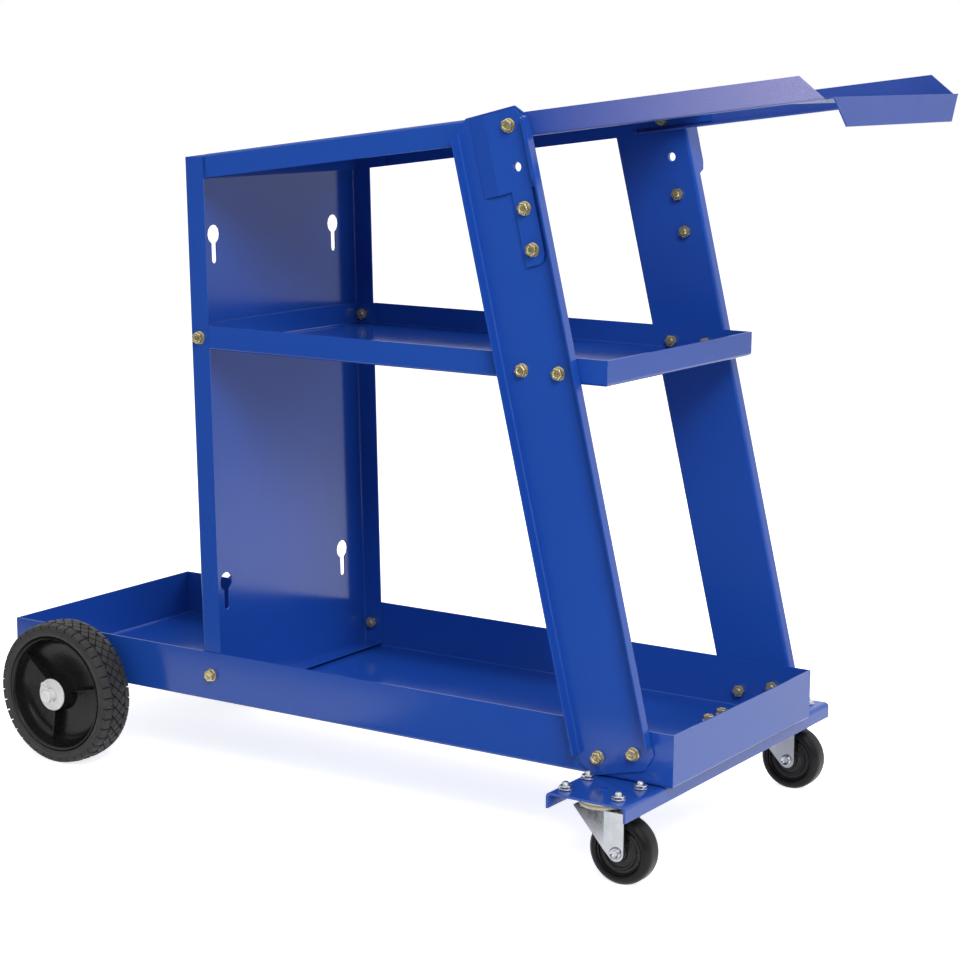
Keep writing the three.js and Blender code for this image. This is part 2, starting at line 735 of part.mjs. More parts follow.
for (const [label, side] of SIDES) {
  piece(label + "_leg", leg(side), BLUE);
  piece(label + "_cable_bracket", hook(side), BLUE);
  const [footBack, footFront] = legFootBolts;
  const [shelfBack, shelfFront] = shelfBolts;
  const [hookUpper, hookLower] = hookBolts;
  const bolt = (tag, spot, headFace, nutFace) =>
    sideBolt(label + "_" + tag, side, spot[0], spot[1], headFace, nutFace);
  bolt("foot_bolt_rear", footBack, LEG_OUTER, WALL_INNER);
  bolt("foot_bolt_front", footFront, LEG_OUTER, WALL_INNER);
  bolt("shelf_bolt_rear", shelfBack, LEG_OUTER, WALL_INNER);
  bolt("shelf_bolt_front", shelfFront, LEG_OUTER, WALL_INNER);
  bolt("top_bolt", topBolt, HOOK_OUTER, ARM_INNER - SHEET);
  bolt("bracket_bolt_upper", hookUpper, HOOK_OUTER, LEG_FACE);
  bolt("bracket_bolt_lower", hookLower, HOOK_OUTER, LEG_FACE);
  bolt("panel_bolt_low", panelLowBolt, HALF, PANEL_HALF - SHEET);
  bolt("panel_bolt_mid", panelMidBolt, PANEL_HALF, TUCK_HALF - SHEET);
}

// Caster channel under the front of the tray
function casterChannel() {
  const x0 = back(BAR_BACK);
  const x1 = back(BAR_FRONT);
  const half = BAR_LENGTH / 2;
  const flip = (outline) => outline.map(([u, v]) => [u, 2 * BAR_TOP - v]).reverse();
  const outer = flip(foldedOutline(x0, x1, BAR_TOP, BAR_TOP + BAR_HEIGHT, BAR_BEND));
  const inner = flip(
    foldedOutline(
      x0 + BAR_SHEET,
      x1 - BAR_SHEET,
      BAR_TOP + BAR_SHEET,
      BAR_TOP + BAR_HEIGHT + OVER,
      BAR_BEND - BAR_SHEET,
    ),
  );
  const shell = slabXZ(outer, -half, half).subtract(slabXZ(inner, -half - OVER, half + OVER));
  const hole = (radius, x, y) =>
    rodZ(radius + HOLE_CLEAR, x, y, BAR_TOP - BAR_SHEET - OVER, BAR_TOP + OVER);
  const studs = SIDES.flatMap(([, side]) => studSpots(side).map(([x, y]) => hole(STUD_R, x, y)));
  const pins = SIDES.map(([, side]) => hole(KINGPIN_R, casterX, side * CASTER_Y));
  return cut(shell, [...studs, ...pins, ...barBoltHoles]);
}

function studSpots(side) {
  const centre = side * CASTER_Y;
  return [-1, 1].flatMap((i) =>
    [-1, 1].map((j) => [casterX + (i * STUD_X) / 2, centre + (j * STUD_Y) / 2]),
  );
}
piece("caster_channel", casterChannel(), BLUE);

function channelBolt(name, y) {
  const seat = FLOOR + GAP;
  const nutTop = BAR_TOP - BAR_SHEET - GAP;
  const body = join([
    rodZ(BOLT_R, barBoltX, y, nutTop - NUT_HEIGHT - TAIL, seat + COLLAR_HEIGHT, SHANK_SIDES),
    rodZ(COLLAR_R, barBoltX, y, seat, seat + COLLAR_HEIGHT),
    hexZ(HEAD_AF, barBoltX, y, seat + COLLAR_HEIGHT - EMBED, seat + COLLAR_HEIGHT + HEAD_HEIGHT),
    hexZ(NUT_AF, barBoltX, y, nutTop - NUT_HEIGHT, nutTop),
  ]);
  piece(name, body, GOLD);
}

for (const [label, side] of SIDES) {
  const [inner, outer] = BAR_BOLT_Y;
  channelBolt(label + "_channel_bolt_inner", side * inner);
  channelBolt(label + "_channel_bolt_outer", side * outer);
}

// Casters: bolted plate, swivel race, kingpin, fork, wheel and axle bolt
function caster(label, side) {
  const cy = side * CASTER_Y;
  const ax = casterX + CASTER_TRAIL;
  const az = CASTER_R;
  const plate = box(
    casterX - CASTER_PLATE_X / 2,
    casterX + CASTER_PLATE_X / 2,
    cy - CASTER_PLATE_Y / 2,
    cy + CASTER_PLATE_Y / 2,
    PLATE_LOW,
    PLATE_TOP,
  );
  const nutLow = BAR_TOP + GAP;
  const studs = studSpots(side).flatMap(([x, y]) => [
    rodZ(STUD_R, x, y, PLATE_LOW - STUD_HEAD, nutLow + NUT_HEIGHT + TAIL, SHANK_SIDES),
    hexZ(NUT_AF, x, y, nutLow, nutLow + NUT_HEIGHT),
  ]);
  const pinHole = rodZ(KINGPIN_R + RUN, casterX, cy, FORK_LOW - OVER, PLATE_TOP + OVER, 24);
  piece(label + "_caster_plate", join([plate, ...studs]).subtract(pinHole), ZINC);

  const race = rodZ(RACE_R, casterX, cy, RACE_LOW, PLATE_LOW - GAP, 32).subtract(pinHole);
  piece(label + "_caster_race", race, CREAM);

  const headTop = FORK_LOW - GAP;
  const pin = join([
    rodZ(KINGPIN_R, casterX, cy, headTop - EMBED, BAR_TOP, 24),
    rodZ(KINGPIN_HEAD_R, casterX, cy, headTop - KINGPIN_HEAD, headTop, 24),
  ]);
  piece(label + "_caster_kingpin", pin, ZINC);

  // The fork's front edge drops straight past the axle and its rear edge slants down to the rounded end.
  const inside = CASTER_WIDTH / 2 + FORK_SIDE_CLEAR;
  const outside = inside + FORK_SHEET;
  const rear = casterX - FORK_BACK;
  const front = ax + FORK_END_R;
  const shoulder = FORK_TOP - FORK_SHOULDER;
  const reach = Math.hypot(rear - ax, shoulder - az);
  const touch = Math.atan2(shoulder - az, rear - ax) + Math.acos(FORK_END_R / reach);
  const steps = 8;
  const end = [];
  for (let i = 0; i <= steps; i += 1) {
    const turn = touch + (2 * Math.PI - touch) * (i / steps);
    end.push([ax + FORK_END_R * Math.cos(turn), az + FORK_END_R * Math.sin(turn)]);
  }
  const cheekOutline = [[front, FORK_TOP], [rear, FORK_TOP], [rear, shoulder], ...end];
  const cheeks = [-1, 1].map((k) => {
    const a = cy + k * inside;
    const b = cy + k * outside;
    return slabXZ(cheekOutline, Math.min(a, b), Math.max(a, b));
  });
  const crownHalf = inside + EMBED;
  const crown = box(rear, front, cy - crownHalf, cy + crownHalf, FORK_LOW, FORK_TOP);
  const axleHole = rodY(CASTER_AXLE_R + GAP, ax, az, cy - outside - OVER, cy + outside + OVER, 24);
  piece(label + "_caster_fork", cut(join([crown, ...cheeks]), [axleHole, pinHole]), ZINC);

  const half = CASTER_WIDTH / 2;
  const bothFaces = (profile) => [
    ...profile.map(([r, y]) => [r, cy - y]),
    ...[...profile].reverse().map(([r, y]) => [r, cy + y]),
  ];
  const tyre = bothFaces([
    [CASTER_HUB_R + GAP, half - CASTER_BEAD],
    [CASTER_R - CASTER_ROUND, half],
    [CASTER_R - CASTER_ROUND * ROUND, half - CASTER_ROUND * ROUND],
    [CASTER_R, half - CASTER_ROUND],
  ]);
  piece(label + "_caster_tyre", turnedY(tyre, ax, az, SMALL_WHEEL_SIDES), RUBBER);

  const hub = bothFaces([
    [CASTER_AXLE_R + RUN, half + FORK_SIDE_CLEAR / 2],
    [CASTER_BOSS_R, half + FORK_SIDE_CLEAR / 2],
    [CASTER_BOSS_R + FORK_SIDE_CLEAR / 2, half - CASTER_DISH],
    [CASTER_HUB_R - CASTER_HUB_RIM, half - CASTER_DISH],
    [CASTER_HUB_R, half - CASTER_BEAD],
  ]);
  piece(label + "_caster_hub", turnedY(hub, ax, az, SMALL_WHEEL_SIDES), PLASTIC);

  const headSide = outside + GAP;
  const bolt = join([
    rodY(CASTER_AXLE_R, ax, az, cy - headSide - NUT_HEIGHT - CASTER_TAIL, cy + headSide + EMBED, 24),
    hexY(HEAD_AF, ax, az, cy + headSide, cy + headSide + HEAD_HEIGHT),
    hexY(NUT_AF, ax, az, cy - headSide - NUT_HEIGHT, cy - headSide),
  ]);
  piece(label + "_caster_axle_bolt", bolt, ZINC);
}
for (const [label, side] of SIDES) caster(label, side);

// Rear axle, its hangers under the tray, and the wheels on its ends
const axleX = back(WHEEL_BACK);
const pinLean = rad(PIN_LEAN);

function pinRod(radius, length, y) {
  const rod = new THREE.CylinderGeometry(radius, radius, length, SHANK_SIDES);
  rod.rotateX(Math.PI / 2);
  rod.rotateY(-pinLean);
  rod.translate(axleX, y, AXLE_Z);
  return solid(rod);
}

const pinHoles = SIDES.map(([, side]) => pinRod(PIN_R + GAP, PIN_LENGTH + 2 * OVER, side * PIN_Y));
piece("rear_axle", cut(rodY(AXLE_R, axleX, AXLE_Z, -AXLE_END, AXLE_END, 32), pinHoles), ZINC);

function hanger(side) {
  const y = (a, b) => (side > 0 ? [a, b] : [-b, -a]);
  const top = TRAY_BOTTOM - GAP;
  const cheek = slabXZ(
    [
      [axleX + HANGER_HALF, top],
      [axleX - HANGER_HALF, top],
      [axleX - AXLE_R - HANGER_LAND, top - HANGER_DROP],
      [axleX + AXLE_R + HANGER_LAND, top - HANGER_DROP],
    ],
    ...y(HANGER_Y, HANGER_Y + HANGER_SHEET),
  );
  const [y0, y1] = y(HANGER_Y - HANGER_FOOT, HANGER_Y + HANGER_SHEET);
  const foot = box(axleX - HANGER_HALF, axleX + HANGER_HALF, y0, y1, top - SHEET, top);
  const bore = rodY(
    AXLE_R + GAP,
    axleX,
    AXLE_Z,
    ...y(HANGER_Y - HANGER_FOOT - OVER, HANGER_Y + HANGER_SHEET + OVER),
    32,
  );
  return join([cheek, foot]).subtract(bore);
}

function rearWheel(label, side) {
  const place = (profile) => profile.map(([r, y]) => [r, side * y]);
  const inner = WHEEL_INNER_Y;
  const outer = WHEEL_OUTER_Y;
  const middle = (inner + outer) / 2;
  const half = WHEEL_WIDTH / 2;
  const tyreHalf = [
    [RIM_R + GAP, half - TYRE_BEAD],
    [RIM_R + TYRE_WALL, half],
    [WHEEL_R - TYRE_SHOULDER, half - TYRE_EASE],
    [WHEEL_R - TYRE_EASE, half - TYRE_CROWN],
    [WHEEL_R, half - 2 * TYRE_CROWN],
  ];
  const tyre = [
    ...tyreHalf.map(([r, y]) => [r, middle - y]),
    ...[...tyreHalf].reverse().map(([r, y]) => [r, middle + y]),
  ];
  piece(label + "_rear_tyre", turnedY(place(tyre), axleX, AXLE_Z, WHEEL_SIDES), RUBBER);
  const rimIn = RIM_R - RIM_LIP;
  const hub = [
    [AXLE_R + RUN, inner + BOSS_SET],
    [BOSS_R, inner + BOSS_SET],
    [BOSS_R + BOSS_DRAFT, inner + DISH_INNER],
    [rimIn - RIM_LIP, inner + DISH_INNER],
    [rimIn, inner + RIM_SET],
    [RIM_R, inner + RIM_SET],
    [RIM_R, outer - RIM_SET],
    [rimIn, outer - RIM_SET],
    [rimIn - RIM_LIP, outer - DISH_OUTER],
    [BOSS_R + BOSS_DRAFT, outer - DISH_OUTER],
    [BOSS_R, outer - BOSS_SET],
    [AXLE_R + RUN, outer - BOSS_SET],
  ];
  const ribs = RIB_ANGLES.map((angle) => {
    const rib = new THREE.BoxGeometry(rimIn - BOSS_R, RIB_RISE, RIB_SHEET);
    const dishFace = outer - DISH_OUTER - OVER;
    rib.translate((rimIn + BOSS_R) / 2, side * (dishFace + RIB_RISE / 2), 0);
    rib.rotateY(-rad(angle));
    rib.translate(axleX, 0, AXLE_Z);
    return solid(rib);
  });
  const body = join([turnedY(place(hub), axleX, AXLE_Z, WHEEL_SIDES), ...ribs]);
  piece(label + "_rear_hub", body, PLASTIC);
  const washer = [
    [AXLE_R + GAP, outer + GAP],
    [WASHER_R, outer + GAP],
    [WASHER_R, WASHER_FACE],
    [AXLE_R + GAP, WASHER_FACE],
  ];
  piece(label + "_axle_washer", turnedY(place(washer), axleX, AXLE_Z, 24), ZINC);
}

// Split pin: a loop at the upper end and two splayed legs below the axle
function splitPin(side) {
  const y = side * PIN_Y;
  const loop = [];
  for (let i = 0; i < 6; i += 1) {
    const turn = (Math.PI * 2 * i) / 6;
    loop.push([PIN_EYE_R + PIN_WIRE_R * Math.cos(turn), PIN_WIRE_R * Math.sin(turn)]);
  }
  const ring = new THREE.LatheGeometry(
    [...loop, loop[0]].map(([r, v]) => new THREE.Vector2(r, v)),
    CIRCLE,
  );
  ring.translate(0, 0, PIN_LENGTH / 2 + PIN_EYE_R - PIN_WIRE_R / 2);
  ring.rotateY(-pinLean);
  ring.translate(axleX, y, AXLE_Z);
  const legs = [-1, 1].map((k) => {
    const prong = new THREE.CylinderGeometry(PIN_PRONG_R, PIN_PRONG_R, PIN_PRONG, 6);
    prong.rotateX(Math.PI / 2);
    prong.translate(0, 0, -PIN_PRONG / 2);
    prong.rotateY(k * rad(PIN_SPLAY));
    prong.translate(0, 0, OVER - PIN_LENGTH / 2);
    prong.rotateY(-pinLean);
    prong.translate(axleX, y, AXLE_Z);
    return solid(prong);
  });
  return join([pinRod(PIN_R, PIN_LENGTH, y), solid(ring), ...legs]);
}

for (const [label, side] of SIDES) {
  piece(label + "_axle_hanger", hanger(side), BLUE);
  rearWheel(label, side);
  piece(label + "_split_pin", splitPin(side), ZINC);
}

export default cart;
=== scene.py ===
"""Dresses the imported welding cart: folded blue sheet steel, wheels, casters and fasteners."""

from __future__ import annotations

import itertools
import json
import logging
import math
from dataclasses import dataclass
from enum import Enum
from typing import Callable, Iterable, Sequence

import bpy
from mathutils import Matrix, Vector

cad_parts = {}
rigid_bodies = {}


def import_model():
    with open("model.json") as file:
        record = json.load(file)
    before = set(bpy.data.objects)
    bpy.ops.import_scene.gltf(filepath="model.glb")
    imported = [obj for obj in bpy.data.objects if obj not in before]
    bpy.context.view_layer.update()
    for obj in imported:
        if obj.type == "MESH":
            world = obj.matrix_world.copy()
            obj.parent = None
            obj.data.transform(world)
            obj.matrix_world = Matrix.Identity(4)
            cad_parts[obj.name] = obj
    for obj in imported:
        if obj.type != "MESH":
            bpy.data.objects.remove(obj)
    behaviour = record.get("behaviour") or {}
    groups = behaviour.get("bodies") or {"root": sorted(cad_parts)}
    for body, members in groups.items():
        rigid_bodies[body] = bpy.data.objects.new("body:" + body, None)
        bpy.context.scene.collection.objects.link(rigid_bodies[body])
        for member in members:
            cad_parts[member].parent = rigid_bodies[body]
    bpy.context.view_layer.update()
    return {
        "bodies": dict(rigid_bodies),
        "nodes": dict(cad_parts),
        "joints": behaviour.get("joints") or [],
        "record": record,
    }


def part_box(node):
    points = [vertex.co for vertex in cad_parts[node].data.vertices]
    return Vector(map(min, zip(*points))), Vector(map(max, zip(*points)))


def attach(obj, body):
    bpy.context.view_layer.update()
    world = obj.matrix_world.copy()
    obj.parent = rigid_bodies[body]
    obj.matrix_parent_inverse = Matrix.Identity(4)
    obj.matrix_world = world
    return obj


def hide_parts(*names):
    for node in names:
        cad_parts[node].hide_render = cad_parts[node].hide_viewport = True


LOG = logging.getLogger("welding_cart")
MM = 0.001
MERGE = 1e-6
CAD_MERGE = 5e-6
CAD_FLAT = 0.6
UPRIGHT = 0.9
SOFT_ANGLE = 32.0
Y_AXIS = Vector((0, 1, 0)).freeze()
Z_AXIS = Vector((0, 0, 1)).freeze()
MIRROR = Matrix.Scale(-1, 4, Y_AXIS)

Point = tuple[float, float]
Triple = tuple[float, float, float]
Piece = bpy.types.Object
Face = bpy.types.MeshPolygon
Socket = bpy.types.NodeSocket


class Side(Enum):
    """The two sides of the cart, by the sign of Y."""

    RIGHT = -1
    LEFT = 1

    @property
    def label(self) -> str:
        """Prefix of the nodes on this side."""
        return self.name.lower()


class Mix(Enum):
    """What a mix node mixes, with its first input and its output."""

    FLOAT = (2, 0)
    RGBA = (6, 2)


class Tread(Enum):
    """Kinds of block in the rear tyres' tread."""

    LOZENGE = "lozenge"
    SHOULDER = "shoulder"


# Hand tools


def deselect() -> None:
    """Leave nothing selected."""
    bpy.ops.object.select_all(action="DESELECT")


def activate(obj: Piece) -> None:
    """Make one object the only selected and active one.

    Args:
        obj: The object.
    """
    deselect()
    obj.select_set(True)
    bpy.context.view_layer.objects.active = obj


def editing(obj: Piece, work: Callable[[], None]) -> None:
    """Run edit-mode operators on a whole object.

    Args:
        obj: The mesh object to edit.
        work: Function that calls the operators.
    """
    activate(obj)
    bpy.ops.object.mode_set(mode="EDIT")
    bpy.ops.mesh.select_all(action="SELECT")
    work()
    bpy.ops.object.mode_set(mode="OBJECT")


def on_faces(obj: Piece, test: Callable[[Face], bool], work: Callable[[], None]) -> None:
    """Run edit-mode operators on chosen faces.

    Args:
        obj: The mesh object.
        test: Takes a face and says whether it is wanted.
        work: Function that calls the operators.
    """
    activate(obj)
    bpy.ops.object.mode_set(mode="EDIT")
    bpy.ops.mesh.select_mode(type="FACE")
    bpy.ops.mesh.select_all(action="DESELECT")
    bpy.ops.object.mode_set(mode="OBJECT")
    for face in obj.data.polygons:
        face.select = test(face)
    bpy.ops.object.mode_set(mode="EDIT")
    work()
    bpy.ops.object.mode_set(mode="OBJECT")


def upward(face: Face) -> bool:
    """Whether a face points upwards."""
    return face.normal.z > UPRIGHT


def merge() -> None:
    """Merge doubles and point every selected face outwards."""
    bpy.ops.mesh.remove_doubles(threshold=MERGE)
    bpy.ops.mesh.normals_make_consistent(inside=False)


def bevelled(obj: Piece, width: float, segments: int = 2, angle: float = SOFT_ANGLE) -> None:
    """Round the sharp edges of a piece.

    Args:
        obj: The piece.
        width: Bevel width in metres.
        segments: Steps across the bevel.
        angle: Edges sharper than this many degrees are rounded.
    """
    activate(obj)
    mod = obj.modifiers.new("edge", "BEVEL")
    mod.width = width
    mod.segments = segments
    mod.limit_method = "ANGLE"
    mod.angle_limit = math.radians(angle)
    mod.use_clamp_overlap = True
    bpy.ops.object.modifier_apply(modifier=mod.name)


def smooth(obj: Piece, angle: float = 35.0) -> Piece:
    """Shade a piece smooth, apart from its sharp edges.

    Args:
        obj: The piece.
        angle: Edges sharper than this many degrees stay sharp.

    Returns:
        The piece.
    """
    activate(obj)
    bpy.ops.object.shade_smooth_by_angle(angle=math.radians(angle))
    return obj


def flattened(obj: Piece) -> Piece:
    """Let the broad faces of a piece shade flat, with the turn kept to its rounded edges.

    Args:
        obj: The piece.

    Returns:
        The piece.
    """
    activate(obj)
    mod = obj.modifiers.new("flat", "WEIGHTED_NORMAL")
    mod.mode = "FACE_AREA"
    mod.weight = 100
    mod.keep_sharp = True
    bpy.ops.object.modifier_apply(modifier=mod.name)
    return obj


def joined(name: str, parts: Sequence[Piece]) -> Piece:
    """Join several objects into one mesh.

    Args:
        name: Name of the result.
        parts: Objects to join.

    Returns:
        The joined object.
    """
    activate(parts[0])
    for part in parts[1:]:
        part.select_set(True)
    if len(parts) > 1:
        bpy.ops.object.join()
    whole = bpy.context.view_layer.objects.active
    whole.name = name
    whole.data.name = name
    return whole


def copy_of(obj: Piece, name: str, place: Matrix) -> Piece:
    """Copy a piece with its own mesh and put it in place.

    Args:
        obj: The piece to copy.
        name: Name of the copy.
        place: Where the copy goes, applied to its mesh.

    Returns:
        The copy, with its object at the origin.
    """
    twin = obj.copy()
    twin.data = obj.data.copy()
    twin.name = name
    twin.data.name = name
    bpy.context.scene.collection.objects.link(twin)
    twin.data.transform(place)
    if place.determinant() < 0:
        editing(twin, bpy.ops.mesh.flip_normals)
    return twin


def discard(*objs: Piece) -> None:
    """Remove master pieces that were only copied."""
    for obj in objs:
        bpy.data.objects.remove(obj)


def middle_of(node: str) -> Vector:
    """Middle of a CAD node's box."""
    low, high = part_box(node)
    return (low + high) / 2


def node_copy(frame: dict, node: str, name: str) -> Piece:
    """Copy a CAD node as a merged mesh with flat faces made whole.

    Args:
        node: Name of the CAD node.
        name: Name of the new piece.

    Returns:
        The new piece.
    """
    mesh = frame["nodes"][node].data.copy()
    piece = bpy.data.objects.new(name, mesh)
    mesh.name = name
    mesh.materials.clear()
    bpy.context.scene.collection.objects.link(piece)

    def work() -> None:
        """Merge the facets of each flat face."""
        bpy.ops.mesh.customdata_custom_splitnormals_clear()
        bpy.ops.mesh.remove_doubles(threshold=CAD_MERGE)
        bpy.ops.mesh.dissolve_limited(angle_limit=math.radians(CAD_FLAT))

    editing(piece, work)
    return piece


def mirrored(side: list[Point], about: float = 0.0) -> list[Point]:
    """Close a half outline with its mirror image, both being radius and height pairs."""
    return side + [(radius, 2 * about - height) for radius, height in reversed(side)]


def turned(name: str, profile: Sequence[Point], centre: Vector, axis: Vector, steps: int) -> Piece:
    """Spin a closed outline, drawn out along X, into a ring or disc.

    Args:
        name: Name of the piece.
        profile: Closed outline of radius and height pairs in millimetres.
        centre: A point on the axis, where height is zero.
        axis: Direction of the axis.
        steps: Steps of the full turn.

    Returns:
        The turned piece.
    """
    deselect()
    bpy.ops.mesh.primitive_circle_add(vertices=len(profile), radius=0.01, fill_type="NOTHING")
    piece = bpy.context.active_object
    piece.name = name
    piece.data.name = name
    for vertex, (radius, height) in zip(piece.data.vertices, profile):
        vertex.co = centre + Vector((radius * MM, 0, 0)) + axis * (height * MM)

    def work() -> None:
        """Spin the outline and close the seam."""
        bpy.ops.mesh.spin(steps=steps, angle=2 * math.pi, center=centre, axis=axis)
        bpy.ops.mesh.select_all(action="SELECT")
        merge()

    editing(piece, work)
    return piece


def prism(name: str, sides: int, radius: float, low: float, high: float) -> Piece:
    """Add an upright prism or cylinder about Z.

    Args:
        name: Name of the piece.
        sides: Number of sides.
        radius: Radius to the corners in millimetres.
        low: Lower end in millimetres.
        high: Upper end in millimetres.

    Returns:
        The new piece, with its place in its mesh.
    """
    deselect()
    bpy.ops.mesh.primitive_cylinder_add(
        vertices=sides,
        radius=radius * MM,
        depth=(high - low) * MM,
        location=(0, 0, (low + high) / 2 * MM),
    )
    piece = bpy.context.active_object
    piece.name = name
    bpy.ops.object.transform_apply(location=True, rotation=True, scale=True)
    return piece


def block(name: str, low: Sequence[float], high: Sequence[float]) -> Piece:
    """Add a block between two corners in millimetres.

    Args:
        name: Name of the piece.
        low: Lowest corner.
        high: Highest corner.

    Returns:
        The new piece, with its place in its mesh.
    """
    deselect()
    middle = [(a + b) / 2 * MM for a, b in zip(low, high)]
    bpy.ops.mesh.primitive_cube_add(size=1.0, location=middle)
    piece = bpy.context.active_object
    piece.scale = [(b - a) * MM for a, b in zip(low, high)]
    piece.name = name
    bpy.ops.object.transform_apply(location=True, rotation=True, scale=True)
    return piece


# Shader groups shared by the finishes


def new_group(name: str, inputs: dict[str, str], outputs: dict[str, str]) -> bpy.types.NodeTree:
    """Start a shader node group.

    Args:
        name: Name of the group.
        inputs: Socket names and socket types.
        outputs: Socket names and socket types.

    Returns:
        The group with its input and output nodes.
    """
    tree = bpy.data.node_groups.new(name, "ShaderNodeTree")
    for label, kind in inputs.items():
        tree.interface.new_socket(name=label, in_out="INPUT", socket_type=kind)
    for label, kind in outputs.items():
        tree.interface.new_socket(name=label, in_out="OUTPUT", socket_type=kind)
    tree.nodes.new("NodeGroupInput").name = "in"
    tree.nodes.new("NodeGroupOutput").name = "out"
    return tree


class Wiring:
    """Adds and links nodes in one tree."""

    def __init__(self, tree: bpy.types.NodeTree) -> None:
        """Keep the tree to wire."""
        self.tree = tree

    def add(self, kind: str, **values: object) -> bpy.types.Node:
        """Add a node and set its properties and input values.

        Args:
            kind: Type of the node.
            values: Properties, or inputs written with a leading in_.

        Returns:
            The node.
        """
        node = self.tree.nodes.new(kind)
        for label, value in values.items():
            if label.startswith("in_"):
                node.inputs[label.removeprefix("in_")].default_value = value
            else:
                setattr(node, label, value)
        return node

    def link(self, source: Socket, target: Socket) -> None:
        """Link two sockets."""
        self.tree.links.new(source, target)

    def feed(self, target: Socket, value: object) -> None:
        """Give an input a socket to follow or a value of its own.

        Args:
            target: The input.
            value: Socket, number or colour.
        """
        if isinstance(value, Socket):
            self.link(value, target)
        else:
            target.default_value = value

    def math(self, operation: str, first: object, second: object) -> Socket:
        """Add a math node.

        Args:
            operation: Name of the operation.
            first: Socket or number.
            second: Socket or number.

        Returns:
            The result socket.
        """
        node = self.add("ShaderNodeMath", operation=operation)
        self.feed(node.inputs[0], first)
        self.feed(node.inputs[1], second)
        return node.outputs[0]

    def ramp(self, source: Socket, span: Point, ends: Sequence[object] = (0.0, 1.0)) -> Socket:
        """Map a value from one span to another.

        Args:
            source: The value.
            span: Where the ramp starts and ends.
            ends: Results there, as sockets or numbers.

        Returns:
            The result socket.
        """
        node = self.add("ShaderNodeMapRange")
        for target, value in zip(node.inputs, (source, *span, *ends)):
            self.feed(target, value)
        return node.outputs[0]

    def mix(self, kind: Mix, share: Socket, first: object, second: object) -> Socket:
        """Mix two numbers or colours.

        Args:
            kind: What is mixed.
            share: Share of the second one.
            first: Socket or value.
            second: Socket or value.

        Returns:
            The result socket.
        """
        node = self.add("ShaderNodeMix", data_type=kind.name)
        start, out = kind.value
        for target, value in zip((0, start, start + 1), (share, first, second)):
            self.feed(node.inputs[target], value)
        return node.outputs[out]

    def axes(self, coordinates: str) -> bpy.types.NodeOutputs:
        """Split texture coordinates of the given kind into X, Y and Z."""
        node = self.add("ShaderNodeSeparateXYZ")
        self.link(self.add("ShaderNodeTexCoord").outputs[coordinates], node.inputs[0])
        return node.outputs

    def noise(self, detail: float, roughness: float, finer: float = 1.0) -> Socket:
        """Add a noise texture at a group's own place and scale.

        Args:
            detail: Detail of the noise.
            roughness: Roughness of the noise.
            finer: How many times finer than the group's scale.

        Returns:
            The noise.
        """
        enter = self.tree.nodes["in"].outputs
        node = self.add("ShaderNodeTexNoise", in_Detail=detail, in_Roughness=roughness)
        self.link(enter["Vector"], node.inputs["Vector"])
        self.link(self.math("MULTIPLY", enter["Scale"], finer), node.inputs["Scale"])
        return node.outputs["Fac"]


VECTOR = "NodeSocketVector"
FLOAT = "NodeSocketFloat"
COLOUR = "NodeSocketColor"


class SurfaceGroups:
    """The shader groups that the finishes share, each made once."""

    FINER = 3.7
    DRIFT = (0.3, 0.7)
    PATCHES = (0.32, 0.72)

    def __init__(self) -> None:
        """Build every group."""
        self.skin = self.make_skin()
        self.mottle = self.make_mottle()
        self.smudge = self.make_smudge()

    def make_skin(self) -> bpy.types.NodeTree:
        """Build the bumpy skin of sprayed powder, moulded rubber or plated steel.

        Returns:
            The group.
        """
        tree = new_group("skin", {"Vector": VECTOR, "Scale": FLOAT, "Fine": FLOAT}, {"Height": FLOAT})
        wire = Wiring(tree)
        fine = wire.noise(3.0, 0.6, self.FINER)
        share = wire.math("MULTIPLY", fine, tree.nodes["in"].outputs["Fine"])
        wire.link(wire.math("ADD", wire.noise(2.0, 0.5), share), tree.nodes["out"].inputs["Height"])
        return tree

    def make_mottle(self) -> bpy.types.NodeTree:
        """Build slow drifts of colour across a surface.

        Returns:
            The group.
        """
        enters = {"Vector": VECTOR, "Scale": FLOAT, "First": COLOUR, "Second": COLOUR}
        tree = new_group("mottle", enters, {"Color": COLOUR})
        wire = Wiring(tree)
        enter = tree.nodes["in"].outputs
        share = wire.ramp(wire.noise(4.0, 0.55), self.DRIFT)
        colour = wire.mix(Mix.RGBA, share, enter["First"], enter["Second"])
        wire.link(colour, tree.nodes["out"].inputs["Color"])
        return tree

    def make_smudge(self) -> bpy.types.NodeTree:
        """Build patches of duller surface, as from handling and dust.

        Returns:
            The group.
        """
        enters = {"Vector": VECTOR, "Scale": FLOAT, "Low": FLOAT, "High": FLOAT}
        tree = new_group("smudge", enters, {"Roughness": FLOAT})
        wire = Wiring(tree)
        enter = tree.nodes["in"].outputs
        patches = wire.ramp(wire.noise(5.0, 0.6), self.PATCHES, (enter["Low"], enter["High"]))
        wire.link(patches, tree.nodes["out"].inputs["Roughness"])
        return tree


